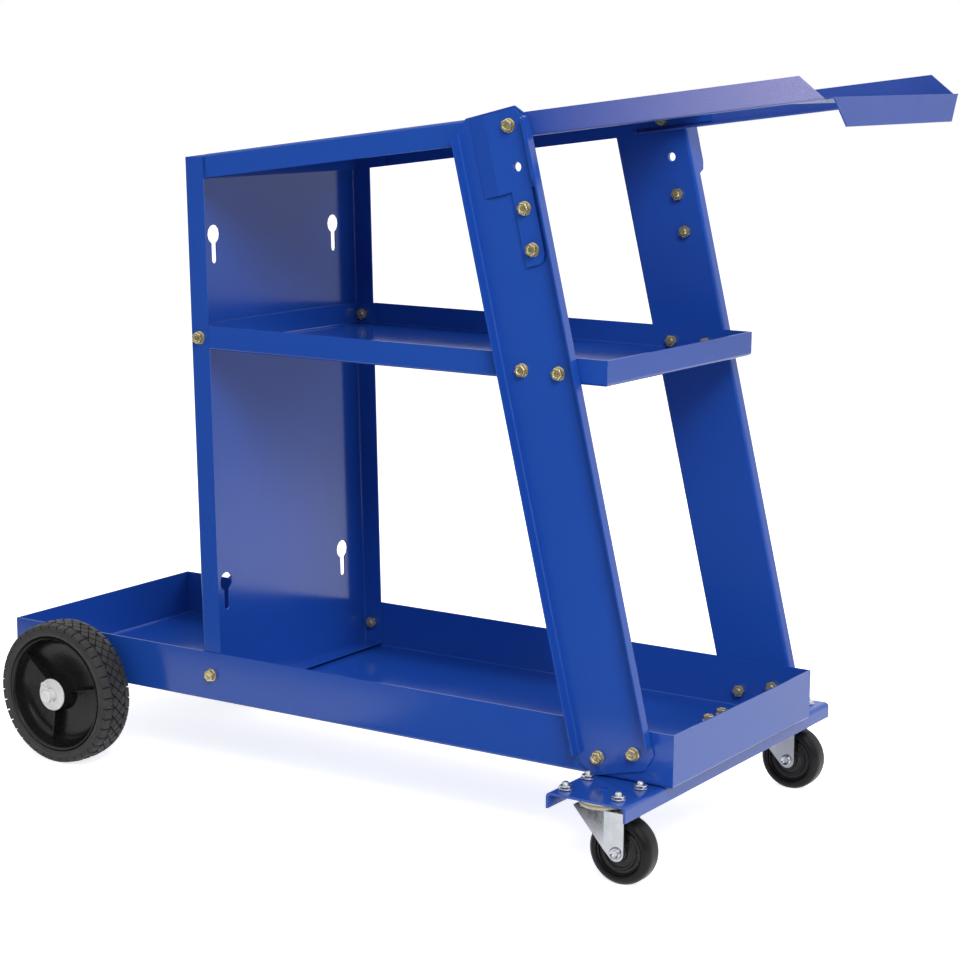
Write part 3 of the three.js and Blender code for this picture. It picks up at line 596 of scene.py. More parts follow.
@dataclass(frozen=True)
class Finish:
    """One finish of the cart, with the values that its material takes."""

    name: str
    slot: str
    first: Triple
    second: Triple
    drift: float
    rough: Point
    skin: float
    fine: float
    depth: float
    metal: float = 0.0
    specular: float = 0.5
    # Painted sheen: a paler colour that the outer side walls take towards the front, standing in for light
    # that grazes them.
    fade: Triple | None = None
    fade_span: Point = (0.0, 1.0)
    wall_span: Point = (0.1685, 0.1695)

    SMUDGE = 1.7

    def material(self, groups: SurfaceGroups) -> bpy.types.Material:
        """Make the node material of this finish.

        Args:
            groups: The shared shader groups.

        Returns:
            The material.
        """
        made = bpy.data.materials.new(self.name)
        made.use_nodes = True
        tree = made.node_tree
        shader = tree.nodes["Principled BSDF"]
        wire = Wiring(tree)
        mottle = wire.add(
            "ShaderNodeGroup", node_tree=groups.mottle, in_Scale=self.drift,
            in_First=(*self.first, 1), in_Second=(*self.second, 1),
        )
        smudge = wire.add(
            "ShaderNodeGroup", node_tree=groups.smudge, in_Scale=self.drift * self.SMUDGE,
            in_Low=self.rough[0], in_High=self.rough[1],
        )
        skin = wire.add("ShaderNodeGroup", node_tree=groups.skin, in_Scale=self.skin, in_Fine=self.fine)
        place = wire.add("ShaderNodeTexCoord").outputs["Object"]
        for node in (mottle, smudge, skin):
            wire.link(place, node.inputs["Vector"])
        bump = wire.add("ShaderNodeBump", in_Strength=1.0, in_Distance=self.depth)
        wire.link(skin.outputs["Height"], bump.inputs["Height"])
        colour = mottle.outputs["Color"]
        # A finish with a painted sheen gets it mixed into its base colour here.
        wire.link(colour if self.fade is None else self.faded(wire, colour), shader.inputs["Base Color"])
        wire.link(smudge.outputs["Roughness"], shader.inputs["Roughness"])
        wire.link(bump.outputs["Normal"], shader.inputs["Normal"])
        shader.inputs["Metallic"].default_value = self.metal
        shader.inputs["Specular IOR Level"].default_value = self.specular
        return made

    def faded(self, wire: Wiring, colour: Socket) -> Socket:
        """Paint a paler sheen on the outer side walls, growing towards the handle's front end, standing in
        for light that grazes them.

        Args:
            wire: Wiring of the material.
            colour: Colour at the near end.

        Returns:
            The faded colour.
        """
        axes = wire.axes("Object")
        along = wire.ramp(axes["X"], self.fade_span)
        wall = wire.ramp(wire.math("ABSOLUTE", axes["Y"], 0.0), self.wall_span)
        return wire.mix(Mix.RGBA, wire.math("MULTIPLY", along, wall), colour, (*self.fade, 1))


BLUE = Finish(
    "gloss_blue_powder", "blue_paint", (0.010, 0.060, 0.340), (0.013, 0.067, 0.360), 3.0,
    (0.11, 0.18), 420.0, 0.25, 0.00004,
)
# The textured paint carries a painted sheen: paler along its outer side walls towards the handle's front,
# where light grazes the arms.
TEXTURED = Finish(
    "textured_blue_powder", "textured_paint", (0.022, 0.064, 0.325), (0.027, 0.072, 0.345), 5.0,
    (0.32, 0.44), 650.0, 0.8, 0.00045, fade=(0.25, 0.25, 0.50), fade_span=(0.215, 0.52),
)
GOLD = Finish(
    "yellow_zinc", "yellow_zinc", (0.64, 0.52, 0.23), (0.74, 0.65, 0.38), 160.0,
    (0.20, 0.34), 900.0, 0.6, 0.00003, metal=0.8,
)
ZINC = Finish(
    "bright_zinc", "bright_zinc", (0.66, 0.68, 0.71), (0.74, 0.75, 0.76), 70.0,
    (0.16, 0.32), 600.0, 0.5, 0.00002, metal=1.0,
)
# A darker copy of the bright zinc for the fork and its axle rivet: painted shade, so the pressed fork reads
# as dark as its facets do out of the light.
SHADED_FORK_ZINC = Finish(
    "fork_zinc", "bright_zinc", (0.47, 0.49, 0.52), (0.56, 0.57, 0.59), 70.0,
    (0.14, 0.26), 600.0, 0.5, 0.00002, metal=1.0,
)
DULL_ZINC = Finish(
    "dull_zinc", "bright_zinc", (0.70, 0.70, 0.69), (0.78, 0.78, 0.77), 90.0,
    (0.30, 0.42), 600.0, 0.5, 0.00002, metal=0.2,
)
RUBBER = Finish(
    "tyre_rubber", "rubber", (0.030, 0.030, 0.030), (0.040, 0.039, 0.038), 40.0,
    (0.50, 0.68), 700.0, 0.7, 0.00006, specular=0.35,
)
SOLID_RUBBER = Finish(
    "solid_rubber", "rubber", (0.006, 0.006, 0.007), (0.010, 0.009, 0.010), 60.0,
    (0.30, 0.42), 700.0, 0.5, 0.00003, specular=0.2,
)
PLASTIC = Finish(
    "hub_plastic", "hub_plastic", (0.007, 0.007, 0.007), (0.011, 0.010, 0.010), 30.0,
    (0.22, 0.32), 500.0, 0.4, 0.00003, specular=0.3,
)
CREAM = Finish(
    "race_plastic", "race_plastic", (0.66, 0.60, 0.42), (0.74, 0.69, 0.54), 60.0,
    (0.35, 0.48), 500.0, 0.4, 0.00003,
)


class PaintShop:
    """Holds the finished materials and puts pieces into service."""

    def __init__(self, frame: dict) -> None:
        """Make every material from the shared groups.
        """
        self.frame = frame
        groups = SurfaceGroups()
        kinds = (BLUE, TEXTURED, GOLD, ZINC, SHADED_FORK_ZINC, DULL_ZINC, RUBBER, SOLID_RUBBER, PLASTIC, CREAM)
        self.made = {finish.name: finish.material(groups) for finish in kinds}
        self.body_of_node = {
            node: body
            for body, nodes in frame["record"]["behaviour"]["bodies"].items()
            for node in nodes
        }

    def settle(self, piece: Piece, finish: Finish, node: str) -> None:
        """Finish a piece and let it ride on its body in place of a CAD node.

        Args:
            piece: The piece, in place.
            finish: Its finish.
            node: The CAD node that it stands for.
        """
        piece.data.materials.clear()
        piece.data.materials.append(self.made[finish.name])
        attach(piece, self.body_of_node[node])
        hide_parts(node)
        LOG.info("piece %s, %d faces", piece.name, len(piece.data.polygons))

    def settle_pair(self, right: Piece, finish: Finish, node: str) -> None:
        """Mirror a piece from the right to the left side and settle both.

        Args:
            right: The piece on the right side, its name starting with right.
            finish: The finish of both.
            node: Name of the CAD nodes without the side.
        """
        plain = right.name.removeprefix(Side.RIGHT.label)
        left = copy_of(right, Side.LEFT.label + plain, MIRROR)
        for side, piece in ((Side.RIGHT, right), (Side.LEFT, left)):
            self.settle(piece, finish, f"{side.label}_{node}")


@dataclass
class SheetWork:
    """The folded sheet parts, kept to their CAD shape with softened edges."""

    shop: PaintShop
    edge: float = 0.55
    bracket_angle: float = 8.0
    leg_lean: float = 13.9
    wing: float = 20.0
    wing_bend: float = 40.0
    wing_fold: float = 29.5
    wing_taper: float = 0.72
    wing_ridge: float = 1.6
    ridge_reach: float = 2.0
    ridge_rise: float = 1.0
    fold_slack: float = 0.5
    cap_r: float = 6.3
    cap_depth: float = 1.2
    cap_edge: float = 0.2

    NODES = (
        "base_tray", "back_panel", "middle_shelf", "top_shelf", "handle", "right_leg", "left_leg",
        "right_cable_bracket", "left_cable_bracket", "caster_channel", "right_axle_hanger",
        "left_axle_hanger",
    )

    def build(self) -> None:
        """Copy each sheet part, soften its edges and paint it."""
        for node in self.NODES:
            piece = node_copy(self.shop.frame, node, node + "_painted")
            bracket = node.endswith("cable_bracket")
            if bracket:
                self.set_wing(piece, node.split("_")[0])
            bevelled(piece, self.edge * MM, 2, self.bracket_angle if bracket else SOFT_ANGLE)
            flattened(smooth(piece))
            if node == "caster_channel":
                piece = self.capped(piece)
            self.shop.settle(piece, TEXTURED if node == "handle" else BLUE, node)

    def set_wing(self, bracket: Piece, side: str) -> None:
        """Press a bracket's wing back until its edge lies close to the leg.

        Args:
            bracket: The bracket.
            side: Side of the cart that it is on.
        """
        lean = math.radians(self.leg_lean)
        bend = math.radians(self.wing_bend)
        across = Vector((math.cos(lean), 0, math.sin(lean)))
        fold = middle_of(f"{side}_bracket_bolt_upper") - across * (self.wing_fold * MM)
        seat = min(abs(vertex.co.y) for vertex in bracket.data.vertices)
        for vertex in bracket.data.vertices:
            away = (fold - vertex.co).dot(across)
            rise = abs(vertex.co.y) - seat
            if away < self.fold_slack * MM:
                if away > -self.ridge_reach * MM and rise > self.ridge_rise * MM:
                    vertex.co.y += math.copysign(self.wing_ridge * MM, vertex.co.y)
                continue
            along = away * math.cos(bend) + rise * math.sin(bend)
            depth = rise * math.cos(bend) - away * math.sin(bend)
            thin = 1.0 - self.wing_taper * along / (self.wing * MM)
            vertex.co -= across * (along - away)
            vertex.co.y = math.copysign(seat + depth * thin, vertex.co.y)

    def capped(self, channel: Piece) -> Piece:
        """Close the kingpin holes of the channel with painted caps.

        Args:
            channel: The channel.

        Returns:
            The channel with its caps.
        """
        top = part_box("caster_channel")[1].z / MM
        parts = [channel]
        for side in Side:
            spot = middle_of(f"{side.label}_caster_kingpin")
            cap = prism("cap", 40, self.cap_r, top - self.cap_depth, top)
            bevelled(cap, self.cap_edge * MM)
            cap.data.transform(Matrix.Translation((*spot.xy, 0)))
            parts.append(smooth(cap))
        return joined(channel.name, parts)


@dataclass
class Fasteners:
    """Hex bolts with flanged heads and nuts, one for each CAD bolt but the caster axles."""

    shop: PaintShop
    head_af: float = 12.5
    head_height: float = 5.5
    collar_r: float = 7.8
    collar_height: float = 1.4
    nut_af: float = 13.0
    nut_height: float = 6.5
    shank_r: float = 4.0
    tail: float = 2.5
    pitch: float = 1.25
    crown: float = 0.9
    crown_inset: float = 1.1
    land: float = 1.3
    dish_inset: float = 0.7
    head_dish: float = 1.1
    nut_dish: float = 0.1
    collar_inset: float = 1.2
    collar_slope: float = 0.5
    thread_depth: float = 0.45
    runout: float = 0.5
    lap: float = 0.3
    round_edge: float = 0.25
    round_angle: float = 25.0
    spin_step: float = 17.0

    def hexagon(self, name: str, flats: float, low: float, high: float, dish: float) -> Piece:
        """Model a hexagon with a chamfered crown and a dished top.

        Args:
            name: Name of the piece.
            flats: Distance across the flats.
            low: Lower end.
            high: Upper end.
            dish: Depth of the dish in the top.

        Returns:
            The piece.
        """
        piece = prism(name, 6, flats / math.sqrt(3), low, high - self.crown)

        def shape() -> None:
            """Raise the crown and sink the dish."""
            bpy.ops.mesh.inset(thickness=self.crown_inset * MM, depth=self.crown * MM)
            bpy.ops.mesh.inset(thickness=self.land * MM, depth=0.0)
            bpy.ops.mesh.inset(thickness=self.dish_inset * MM, depth=-dish * MM)

        on_faces(piece, upward, shape)
        bevelled(piece, self.round_edge * MM, 2, self.round_angle)
        return piece

    def thread(self, low: float, high: float) -> Piece:
        """Model a threaded end with a ridge at every pitch.

        Args:
            low: Lower end.
            high: Upper end.

        Returns:
            The piece.
        """
        count = max(1, round((high - low) / self.pitch))
        step = (high - low) / count
        outline: list[Point] = [(0.0, low), (self.shank_r - self.runout, low)]
        for index in range(count):
            outline.append((self.shank_r, low + (index + 0.5) * step))
            outline.append((self.shank_r - self.thread_depth, low + (index + 1) * step))
        outline.append((0.0, high))
        return turned("thread", outline, Vector(), Z_AXIS, 16)

    def bolt(self, name: str, length: float) -> Piece:
        """Model a whole bolt with its head at the top and its nut below.

        Args:
            name: Name of the piece.
            length: From the tail to the top of the head.

        Returns:
            The piece, with its head's top at height zero.
        """
        seat = -self.head_height - self.collar_height
        nut_low = -length + self.tail
        head_low = seat + self.collar_height
        nut_high = nut_low + self.nut_height
        collar = prism(name + "_collar", 32, self.collar_r, seat, head_low - self.collar_slope)
        on_faces(
            collar,
            upward,
            lambda: bpy.ops.mesh.inset(thickness=self.collar_inset * MM, depth=self.collar_slope * MM),
        )
        bevelled(collar, self.round_edge * MM, 2, self.round_angle)
        parts = [
            collar,
            self.hexagon(name + "_head", self.head_af, head_low - self.lap, 0.0, self.head_dish),
            self.hexagon(name + "_nut", self.nut_af, nut_low, nut_high, self.nut_dish),
            self.thread(-length, nut_low + 2 * self.lap),
            prism(name + "_shank", 16, self.shank_r, nut_high - self.runout, seat + self.lap),
        ]
        return smooth(joined(name, parts), SOFT_ANGLE)

    def build(self) -> None:
        """Replace every CAD bolt but the caster axles by a detailed copy."""
        masters: dict[int, Piece] = {}
        nodes = [node for node in self.shop.frame["nodes"] if "_bolt" in node and "axle_bolt" not in node]
        for index, node in enumerate(sorted(nodes)):
            low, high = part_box(node)
            upright = "channel_bolt" in node
            reach = high.z - low.z if upright else high.y - low.y
            key = round(reach / MM * 10)
            if key not in masters:
                masters[key] = self.bolt(f"bolt_{key}", key / 10)
            middle = (low + high) / 2
            spin = Matrix.Rotation(math.radians(self.spin_step * index), 4, "Z")
            if upright:
                place = Matrix.Translation((middle.x, middle.y, high.z)) @ spin
            else:
                outward = 1 if middle.y > 0 else -1
                turn = Matrix.Rotation(math.radians(-90 * outward), 4, "X")
                tip = high.y if outward > 0 else low.y
                place = Matrix.Translation((middle.x, tip, middle.z)) @ turn @ spin
            piece = copy_of(masters[key], node + "_hex", place)
            self.shop.settle(piece, GOLD, node)
        discard(*masters.values())


@dataclass
class RearWheel:
    """Rear wheels: dished hub with thin ribs, block-tread tyre, washer and split pin."""

    shop: PaintShop
    outer_r: float = 89.0
    carcass_r: float = 85.2
    rim_r: float = 72.0
    width: float = 46.0
    face_y: float = 229.0
    washer_r: float = 20.0
    blocks: int = 40
    rows: Triple = (16.2, 23.0, 29.8)
    edge_row: float = 6.4
    root: float = -1.6
    lozenge_r: float = 6.2
    lozenge_squeeze: Point = (0.96, 0.92)
    shoulder: Point = (5.9, 4.6)
    shoulder_drop: float = 0.5
    shoulder_slope: float = 1.7
    block_inset: float = 0.9
    block_round: float = 0.45
    block_flat: Point = (5.2, 4.0)
    rib_angles: Triple = (142.0, 12.0, 258.0)
    rib_reach: Point = (19.5, 64.0)
    rib_depth: Point = (8.0, 23.0)
    rib_half: float = 1.0
    rib_edge: float = 0.5
    rib_thin: float = 0.7
    rib_fall: float = 3.5
    rib_fall_at: float = 60.0
    rib_fall_run: float = 42.0
    pin_lean: float = 35.0
    pin_wire: float = 0.85
    pin_half: float = 0.75
    eye_r: float = 3.4
    eye_at: float = 14.8
    eye_start: float = -70.0
    eye_step: float = 26.6

    def centre(self) -> Vector:
        """Middle of the right wheel's outer face."""
        middle = middle_of("right_rear_tyre")
        return Vector((middle.x, -self.face_y * MM, middle.z))

    def spun(self, name: str, outline: Sequence[Point], steps: int) -> Piece:
        """Turn an outline about the axle; height runs inwards from the outer face."""
        return turned(name, outline, self.centre(), Y_AXIS, steps)

    def carcass(self) -> Piece:
        """Turn the tyre's body with its bead, sidewall step and rounded shoulders.

        Returns:
            The piece.
        """
        r = self.carcass_r
        half: list[Point] = [
            (self.rim_r + 0.3, 5.0), (self.rim_r + 1.2, 1.4), (self.rim_r + 3.0, 0.3),
            (self.rim_r + 5.2, 0.2), (self.rim_r + 6.0, 1.0), (self.rim_r + 9.5, 1.6),
            (r - 3.0, 3.2), (r - 1.0, 5.2), (r, 8.0),
        ]
        return self.spun("tyre_body", mirrored(half, self.width / 2), 120)

    def tread_block(self, kind: Tread) -> Piece:
        """Model one tread block flat: X round the tyre, Y across it, Z outwards.

        Args:
            kind: Which block.

        Returns:
            The piece.
        """
        rise = self.outer_r - self.carcass_r
        if kind is Tread.LOZENGE:
            piece = prism(kind.value, 4, self.lozenge_r, self.root, rise)
            for vertex in piece.data.vertices:
                vertex.co.x *= self.lozenge_squeeze[0]
                vertex.co.y *= self.lozenge_squeeze[1]
        else:
            x, y = self.shoulder
            piece = block(kind.value, (-x, -y, self.root), (x, y, rise - self.shoulder_drop))
            for vertex in piece.data.vertices:
                if vertex.co.y < 0:
                    vertex.co.z -= self.shoulder_slope * MM
        on_faces(piece, upward, lambda: bpy.ops.mesh.inset(thickness=self.block_inset * MM, depth=0.0))
        for vertex in piece.data.vertices:
            inner = all(abs(at) < flat * MM for at, flat in zip(vertex.co.xy, self.block_flat))
            if vertex.co.z > 0 and not inner:
                vertex.co.z -= self.block_round * MM
        return piece

    def wrap(self, master: Piece, angle: float, across: float) -> Piece:
        """Copy a flat block onto the tyre.

        Args:
            master: The flat block.
            angle: Place round the tyre in radians.
            across: Place across the tyre in millimetres from its outer face.

        Returns:
            The wrapped copy.
        """
        centre = self.centre()
        piece = copy_of(master, "block", Matrix.Identity(4))
        for vertex in piece.data.vertices:
            turn = angle + vertex.co.x / (self.carcass_r * MM)
            radius = self.carcass_r * MM + vertex.co.z
            vertex.co = (
                centre.x + radius * math.cos(turn),
                centre.y + across * MM + vertex.co.y,
                centre.z + radius * math.sin(turn),
            )
        editing(piece, lambda: bpy.ops.mesh.normals_make_consistent(inside=False))
        return piece

    def tyre(self) -> Piece:
        """Put the tread on the tyre's body.

        Returns:
            The right tyre.
        """
        parts = [self.carcass()]
        lozenge = self.tread_block(Tread.LOZENGE)
        shoulder = self.tread_block(Tread.SHOULDER)
        flipped = copy_of(shoulder, "shoulder_inner", MIRROR)
        pitch = 2 * math.pi / self.blocks
        for index in range(self.blocks):
            for row, across in enumerate(self.rows):
                parts.append(self.wrap(lozenge, pitch * (index + 0.5 * (row % 2)), across))
            parts.append(self.wrap(shoulder, pitch * index, self.edge_row))
            parts.append(self.wrap(flipped, pitch * (index + 0.5), self.width - self.edge_row))
        discard(lozenge, shoulder, flipped)
        return smooth(joined("right_rear_tyre_tread", parts), 30)

    def hub(self) -> Piece:
        """Turn the dished hub and set its ribs.

        Returns:
            The right hub.
        """
        w = self.width
        rim = self.rim_r
        outline: list[Point] = [
            (8.4, 1.0), (17.5, 1.0), (18.6, 1.6), (19.4, 5.0), (20.8, 16.0), (23.0, 19.6), (27.0, 21.0),
            (46.0, 22.4), (56.0, 22.2), (61.0, 20.4), (64.2, 16.4), (66.2, 10.4), (67.4, 5.4), (68.4, 2.6),
            (69.6, 1.6), (71.0, 1.8), (rim, 3.4), (rim, w - 6.0), (70.0, w - 4.6), (66.5, w - 5.0),
            (63.0, w - 13.0), (22.0, w - 14.0), (19.0, w - 3.0), (17.5, w - 1.0), (8.4, w - 1.0),
        ]
        parts = [self.spun("hub_dish", outline, 96)]
        for angle in self.rib_angles:
            turn = Matrix.Rotation(-math.radians(angle), 4, "Y")
            rib = self.rib()
            rib.data.transform(Matrix.Translation(self.centre()) @ turn)
            parts.append(rib)
        return smooth(joined("right_rear_hub_dish", parts), 38)

    def rib(self) -> Piece:
        """Model one rib along X, with its outer edge thinned and falling towards the rim.

        Returns:
            The piece.
        """
        corners = zip(self.rib_reach, self.rib_depth, (-self.rib_half, self.rib_half))
        piece = block("rib", *corners)
        for vertex in piece.data.vertices:
            if vertex.co.y < sum(self.rib_depth) / 2 * MM:
                off = abs(vertex.co.x / MM - self.rib_fall_at) / self.rib_fall_run
                vertex.co.y += self.rib_fall * MM * (1.0 - off)
                vertex.co.z *= self.rib_thin
        bevelled(piece, self.rib_edge * MM)
        return piece

    def washer(self) -> Piece:
        """Turn the flat washer with rolled edges.

        Returns:
            The right washer.
        """
        out: list[Point] = [
            (8.3, -0.5), (8.6, -2.8), (18.6, -2.8), (19.6, -2.4), (self.washer_r, -1.6),
            (19.7, -0.6), (19.0, -0.3), (8.6, -0.3),
        ]
        return smooth(self.spun("right_axle_washer_plate", out, 64))

    def split_pin(self) -> Piece:
        """Bend the split pin from two wires: an eye above, legs spread below.

        Returns:
            The right pin.
        """
        wires = [self.pin_half_loop(-1, 3.6, -16.0), self.pin_half_loop(1, 2.2, -17.5)]
        whole = joined("right_split_pin_wire", wires)
        editing(whole, merge)
        return smooth(whole, 60)

    def pin_half_loop(self, hand: int, bend: float, tip: float) -> Piece:
        """Bend one wire of the split pin.

        Args:
            hand: Side of the pin, by sign.
            bend: How far the leg's end is bent out.
            tip: Height of the leg's end.

        Returns:
            The wire as a mesh.
        """
        half = self.pin_half
        neck = half + 0.15
        points = [(half + bend, tip), (neck + bend * 0.35, -13.4), (half, -11.0), (half, 9.0), (neck, 11.2)]
        for step in range(7):
            turn = math.radians(self.eye_start + step * self.eye_step)
            points.append((self.eye_r * math.cos(turn), self.eye_at + self.eye_r * math.sin(turn)))
        deselect()
        bpy.ops.curve.primitive_nurbs_path_add()
        wire = bpy.context.active_object
        spline = wire.data.splines[0]
        spline.points.add(len(points) - len(spline.points))
        middle = Vector((self.centre().x, middle_of("right_split_pin").y, self.centre().z))
        lean = Matrix.Rotation(-math.radians(self.pin_lean), 3, "Y")
        for knot, (across, along) in zip(spline.points, points):
            knot.co = (*(middle + lean @ Vector((hand * across * MM, 0, along * MM))), 1.0)
        spline.use_endpoint_u = True
        spline.order_u = 3
        wire.data.bevel_depth = self.pin_wire * MM
        wire.data.bevel_resolution = 3
        wire.data.use_fill_caps = True
        bpy.ops.object.convert(target="MESH")
        return bpy.context.active_object

    def axle(self) -> Piece:
        """Turn the rear axle with chamfered ends.

        Returns:
            The axle.
        """
        low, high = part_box("rear_axle")
        half = (high.y - low.y) / 2 / MM
        radius = (high.z - low.z) / 2 / MM
        end: list[Point] = [(0.0, -half), (radius - 1.6, -half), (radius, -half + 1.4)]
        return smooth(turned("rear_axle_rod", mirrored(end), middle_of("rear_axle"), Y_AXIS, 48))

    def build(self) -> None:
        """Model the right wheel, mirror it for the left, and finish both."""
        self.shop.settle(self.axle(), DULL_ZINC, "rear_axle")
        for piece, finish, node in (
            (self.tyre(), RUBBER, "rear_tyre"),
            (self.hub(), PLASTIC, "rear_hub"),
            (self.washer(), DULL_ZINC, "axle_washer"),
            (self.split_pin(), DULL_ZINC, "split_pin"),
        ):
            self.shop.settle_pair(piece, finish, node)


@dataclass
class Casters:
    """Swivel casters: bolted plate, pale race, pressed fork, and a solid rubber wheel."""

    shop: PaintShop
    tools: Fasteners
    tyre_r: float = 38.0
    width: float = 28.0
    hub_r: float = 27.0
    gap: float = 0.3
    plate_sheet: float = 3.0
    plate_edge: float = 2.4
    stud_half: Point = (32.5, 24.0)
    stud_root: float = 4.5
    nut_height: float = 5.0
    skirt_r: float = 8.4
    skirt: float = 1.3
    skirt_edge: float = 0.4
    crease: float = 15.0
    press: float = 0.15
    crown: float = 5.0
    fork_edge: float = 0.7
    drop: float = 3.0
    rivet_r: float = 6.8
    rivet_head: float = 3.2
    pin_short: float = 1.4

    def plate(self) -> Piece:
        """Model the right plate with its studs and nuts.

        Returns:
            The piece.
        """
        low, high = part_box("right_caster_plate")
        centre = (low + high) / 2
        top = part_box("right_caster_race")[1].z / MM + self.gap + self.plate_sheet
        sheet = block(
            "plate", (low.x / MM, low.y / MM, top - self.plate_sheet), (high.x / MM, high.y / MM, top)
        )
        bevelled(sheet, self.plate_edge * MM, 3, 60)
        parts = [sheet]
        nut_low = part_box("caster_channel")[1].z / MM + self.gap
        for i, j in itertools.product((-1, 1), repeat=2):
            x, y = self.stud_half
            spot = Vector((centre.x + i * x * MM, centre.y + j * y * MM, 0))
            nut = self.tools.hexagon(
                "nut", self.tools.nut_af, nut_low, nut_low + self.nut_height, self.tools.nut_dish
            )
            skirt = prism("skirt", 28, self.skirt_r, nut_low, nut_low + self.skirt)
            bevelled(skirt, self.skirt_edge * MM)
            for part in (nut, skirt, self.stud(top - self.stud_root, high.z / MM)):
                part.data.transform(Matrix.Translation(spot) @ Matrix.Rotation(i + 2.0 * j, 4, "Z"))
                parts.append(part)
        return smooth(joined("right_caster_plate_studs", parts), SOFT_ANGLE)

    def stud(self, low: float, high: float) -> Piece:
        """Turn a stud with a threaded, rounded end.

        Args:
            low: Lower end in millimetres.
            high: Upper end in millimetres.

        Returns:
            The piece.
        """
        outline: list[Point] = [(0.0, low), (4.0, low), (4.0, high - 5.2)]
        for index in range(3):
            base = high - 5.0 + index * 1.25
            outline += [(3.55, base), (4.0, base + 0.6)]
        outline += [(3.5, high - 1.1), (2.2, high - 0.25), (0.0, high)]
        return turned("stud", outline, Vector(), Z_AXIS, 20)

    def race(self) -> Piece:
        """Turn the pale race with its lip and groove.

        Returns:
            The right race.
        """
        low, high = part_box("right_caster_race")
        low.z -= self.drop * MM
        r = (high.x - low.x) / 2 / MM
        h = (high.z - low.z) / 2 / MM
        outline: list[Point] = [
            (6.6, -h), (r - 2.6, -h), (r - 1.0, -h + 0.8), (r - 0.4, -h + 2.6), (r - 1.0, -h + 3.8),
            (r - 2.6, -h + 4.2), (r - 2.6, -h + 5.0), (r - 0.6, -h + 5.4), (r, -h + 6.2), (r, h - 0.6),
            (r - 0.6, h), (6.6, h),
        ]
        return smooth(turned("right_caster_race_ring", outline, (low + high) / 2, Z_AXIS, 72))

    def kingpin(self) -> Piece:
        """Turn the kingpin with its domed rivet head.

        Returns:
            The right kingpin.
        """
        low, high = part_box("right_caster_kingpin")
        centre = Vector((*((low + high) / 2).xy, 0))
        a, b = low.z / MM - self.drop, high.z / MM - self.pin_short
        outline: list[Point] = [
            (0.0, a), (4.0, a + 0.2), (7.0, a + 1.0), (8.8, a + 2.2), (9.0, a + 2.8), (6.0, a + 2.9),
            (6.0, b - 0.4), (5.4, b), (0.0, b),
        ]
        return smooth(turned("right_caster_kingpin_rivet", outline, centre, Z_AXIS, 40))

    def tyre(self) -> Piece:
        """Turn the solid rubber tyre with a flat tread and rounded shoulders.

        Returns:
            The right tyre.
        """
        r = self.tyre_r
        half = self.width / 2
        side: list[Point] = [
            (self.hub_r + 0.3, -half + 2.6), (self.hub_r + 1.0, -half + 0.8), (self.hub_r + 2.6, -half),
            (r - 6.5, -half + 0.1), (r - 4.6, -half + 0.9), (r - 2.6, -half + 2.4), (r - 1.0, -half + 4.6),
            (r - 0.2, -half + 7.2), (r, -half + 9.5),
        ]
        centre = middle_of("right_caster_tyre")
        return smooth(turned("right_caster_tyre_ring", mirrored(side), centre, Y_AXIS, 96))

    def hub(self) -> Piece:
        """Turn the moulded hub with its ring and boss.

        Returns:
            The right hub.
        """
        half = self.width / 2
        side: list[Point] = [
            (5.4, -half - 1.0), (9.6, -half - 1.0), (10.6, -half - 0.4), (11.4, -half + 2.4),
            (13.0, -half + 3.6), (17.5, -half + 3.9), (18.4, -half + 2.9), (20.4, -half + 2.9),
            (21.4, -half + 4.2), (24.4, -half + 4.4), (25.4, -half + 2.4), (26.6, -half + 2.0), (self.hub_r, -half + 2.8),
        ]
        centre = middle_of("right_caster_hub")
        return smooth(turned("right_caster_hub_wheel", mirrored(side), centre, Y_AXIS, 72))

    def axle_rivet(self) -> Piece:
        """Turn the axle with a domed, dished head at each end.

        Returns:
            The right axle.
        """
        centre = middle_of("right_caster_axle_bolt")
        fork_low, fork_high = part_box("right_caster_fork")
        centre.y = (fork_low.y + fork_high.y) / 2
        r = self.rivet_r
        seat = (fork_high.y - fork_low.y) / 2 / MM + 0.1
        half = seat + self.rivet_head
        side: list[Point] = [
            (0.0, -half + 2.0), (3.0, -half + 1.7), (4.4, -half + 0.3), (5.2, -half),
            (r - 0.6, -half + 0.6), (r, -half + 1.8), (r, -seat), (5.0, -seat),
        ]
        return smooth(turned("right_caster_axle_rivet", mirrored(side), centre, Y_AXIS, 40))

    def fork(self) -> Piece:
        """Copy the right fork, lower its crown, press its crease and round its edges.

        Returns:
            The right fork.
        """
        piece = node_copy(self.shop.frame, "right_caster_fork", "right_caster_fork_pressing")
        axle = middle_of("right_caster_axle_bolt")
        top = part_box("right_caster_fork")[1].z
        fold = axle.x - self.crease * MM
        editing(piece, lambda: bpy.ops.mesh.bisect(plane_co=(fold, 0, 0), plane_no=(-1, 0, 0)))
        for vertex in piece.data.vertices:
            away = fold - vertex.co.x
            if vertex.co.z > top - self.crown * MM:
                vertex.co.z -= self.drop * MM
            elif away > 0:
                vertex.co.y -= math.copysign(away * self.press, vertex.co.y - axle.y)
        bevelled(piece, self.fork_edge * MM, 3, 40)
        return flattened(smooth(piece, 6))

    def build(self) -> None:
        """Model the right caster, mirror it for the left, and finish both."""
        for piece, finish, node in (
            (self.plate(), ZINC, "caster_plate"),
            (self.race(), CREAM, "caster_race"),
            (self.kingpin(), ZINC, "caster_kingpin"),
            (self.fork(), SHADED_FORK_ZINC, "caster_fork"),
            (self.tyre(), SOLID_RUBBER, "caster_tyre"),
            (self.hub(), PLASTIC, "caster_hub"),
            (self.axle_rivet(), SHADED_FORK_ZINC, "caster_axle_bolt"),
        ):
            self.shop.settle_pair(piece, finish, node)


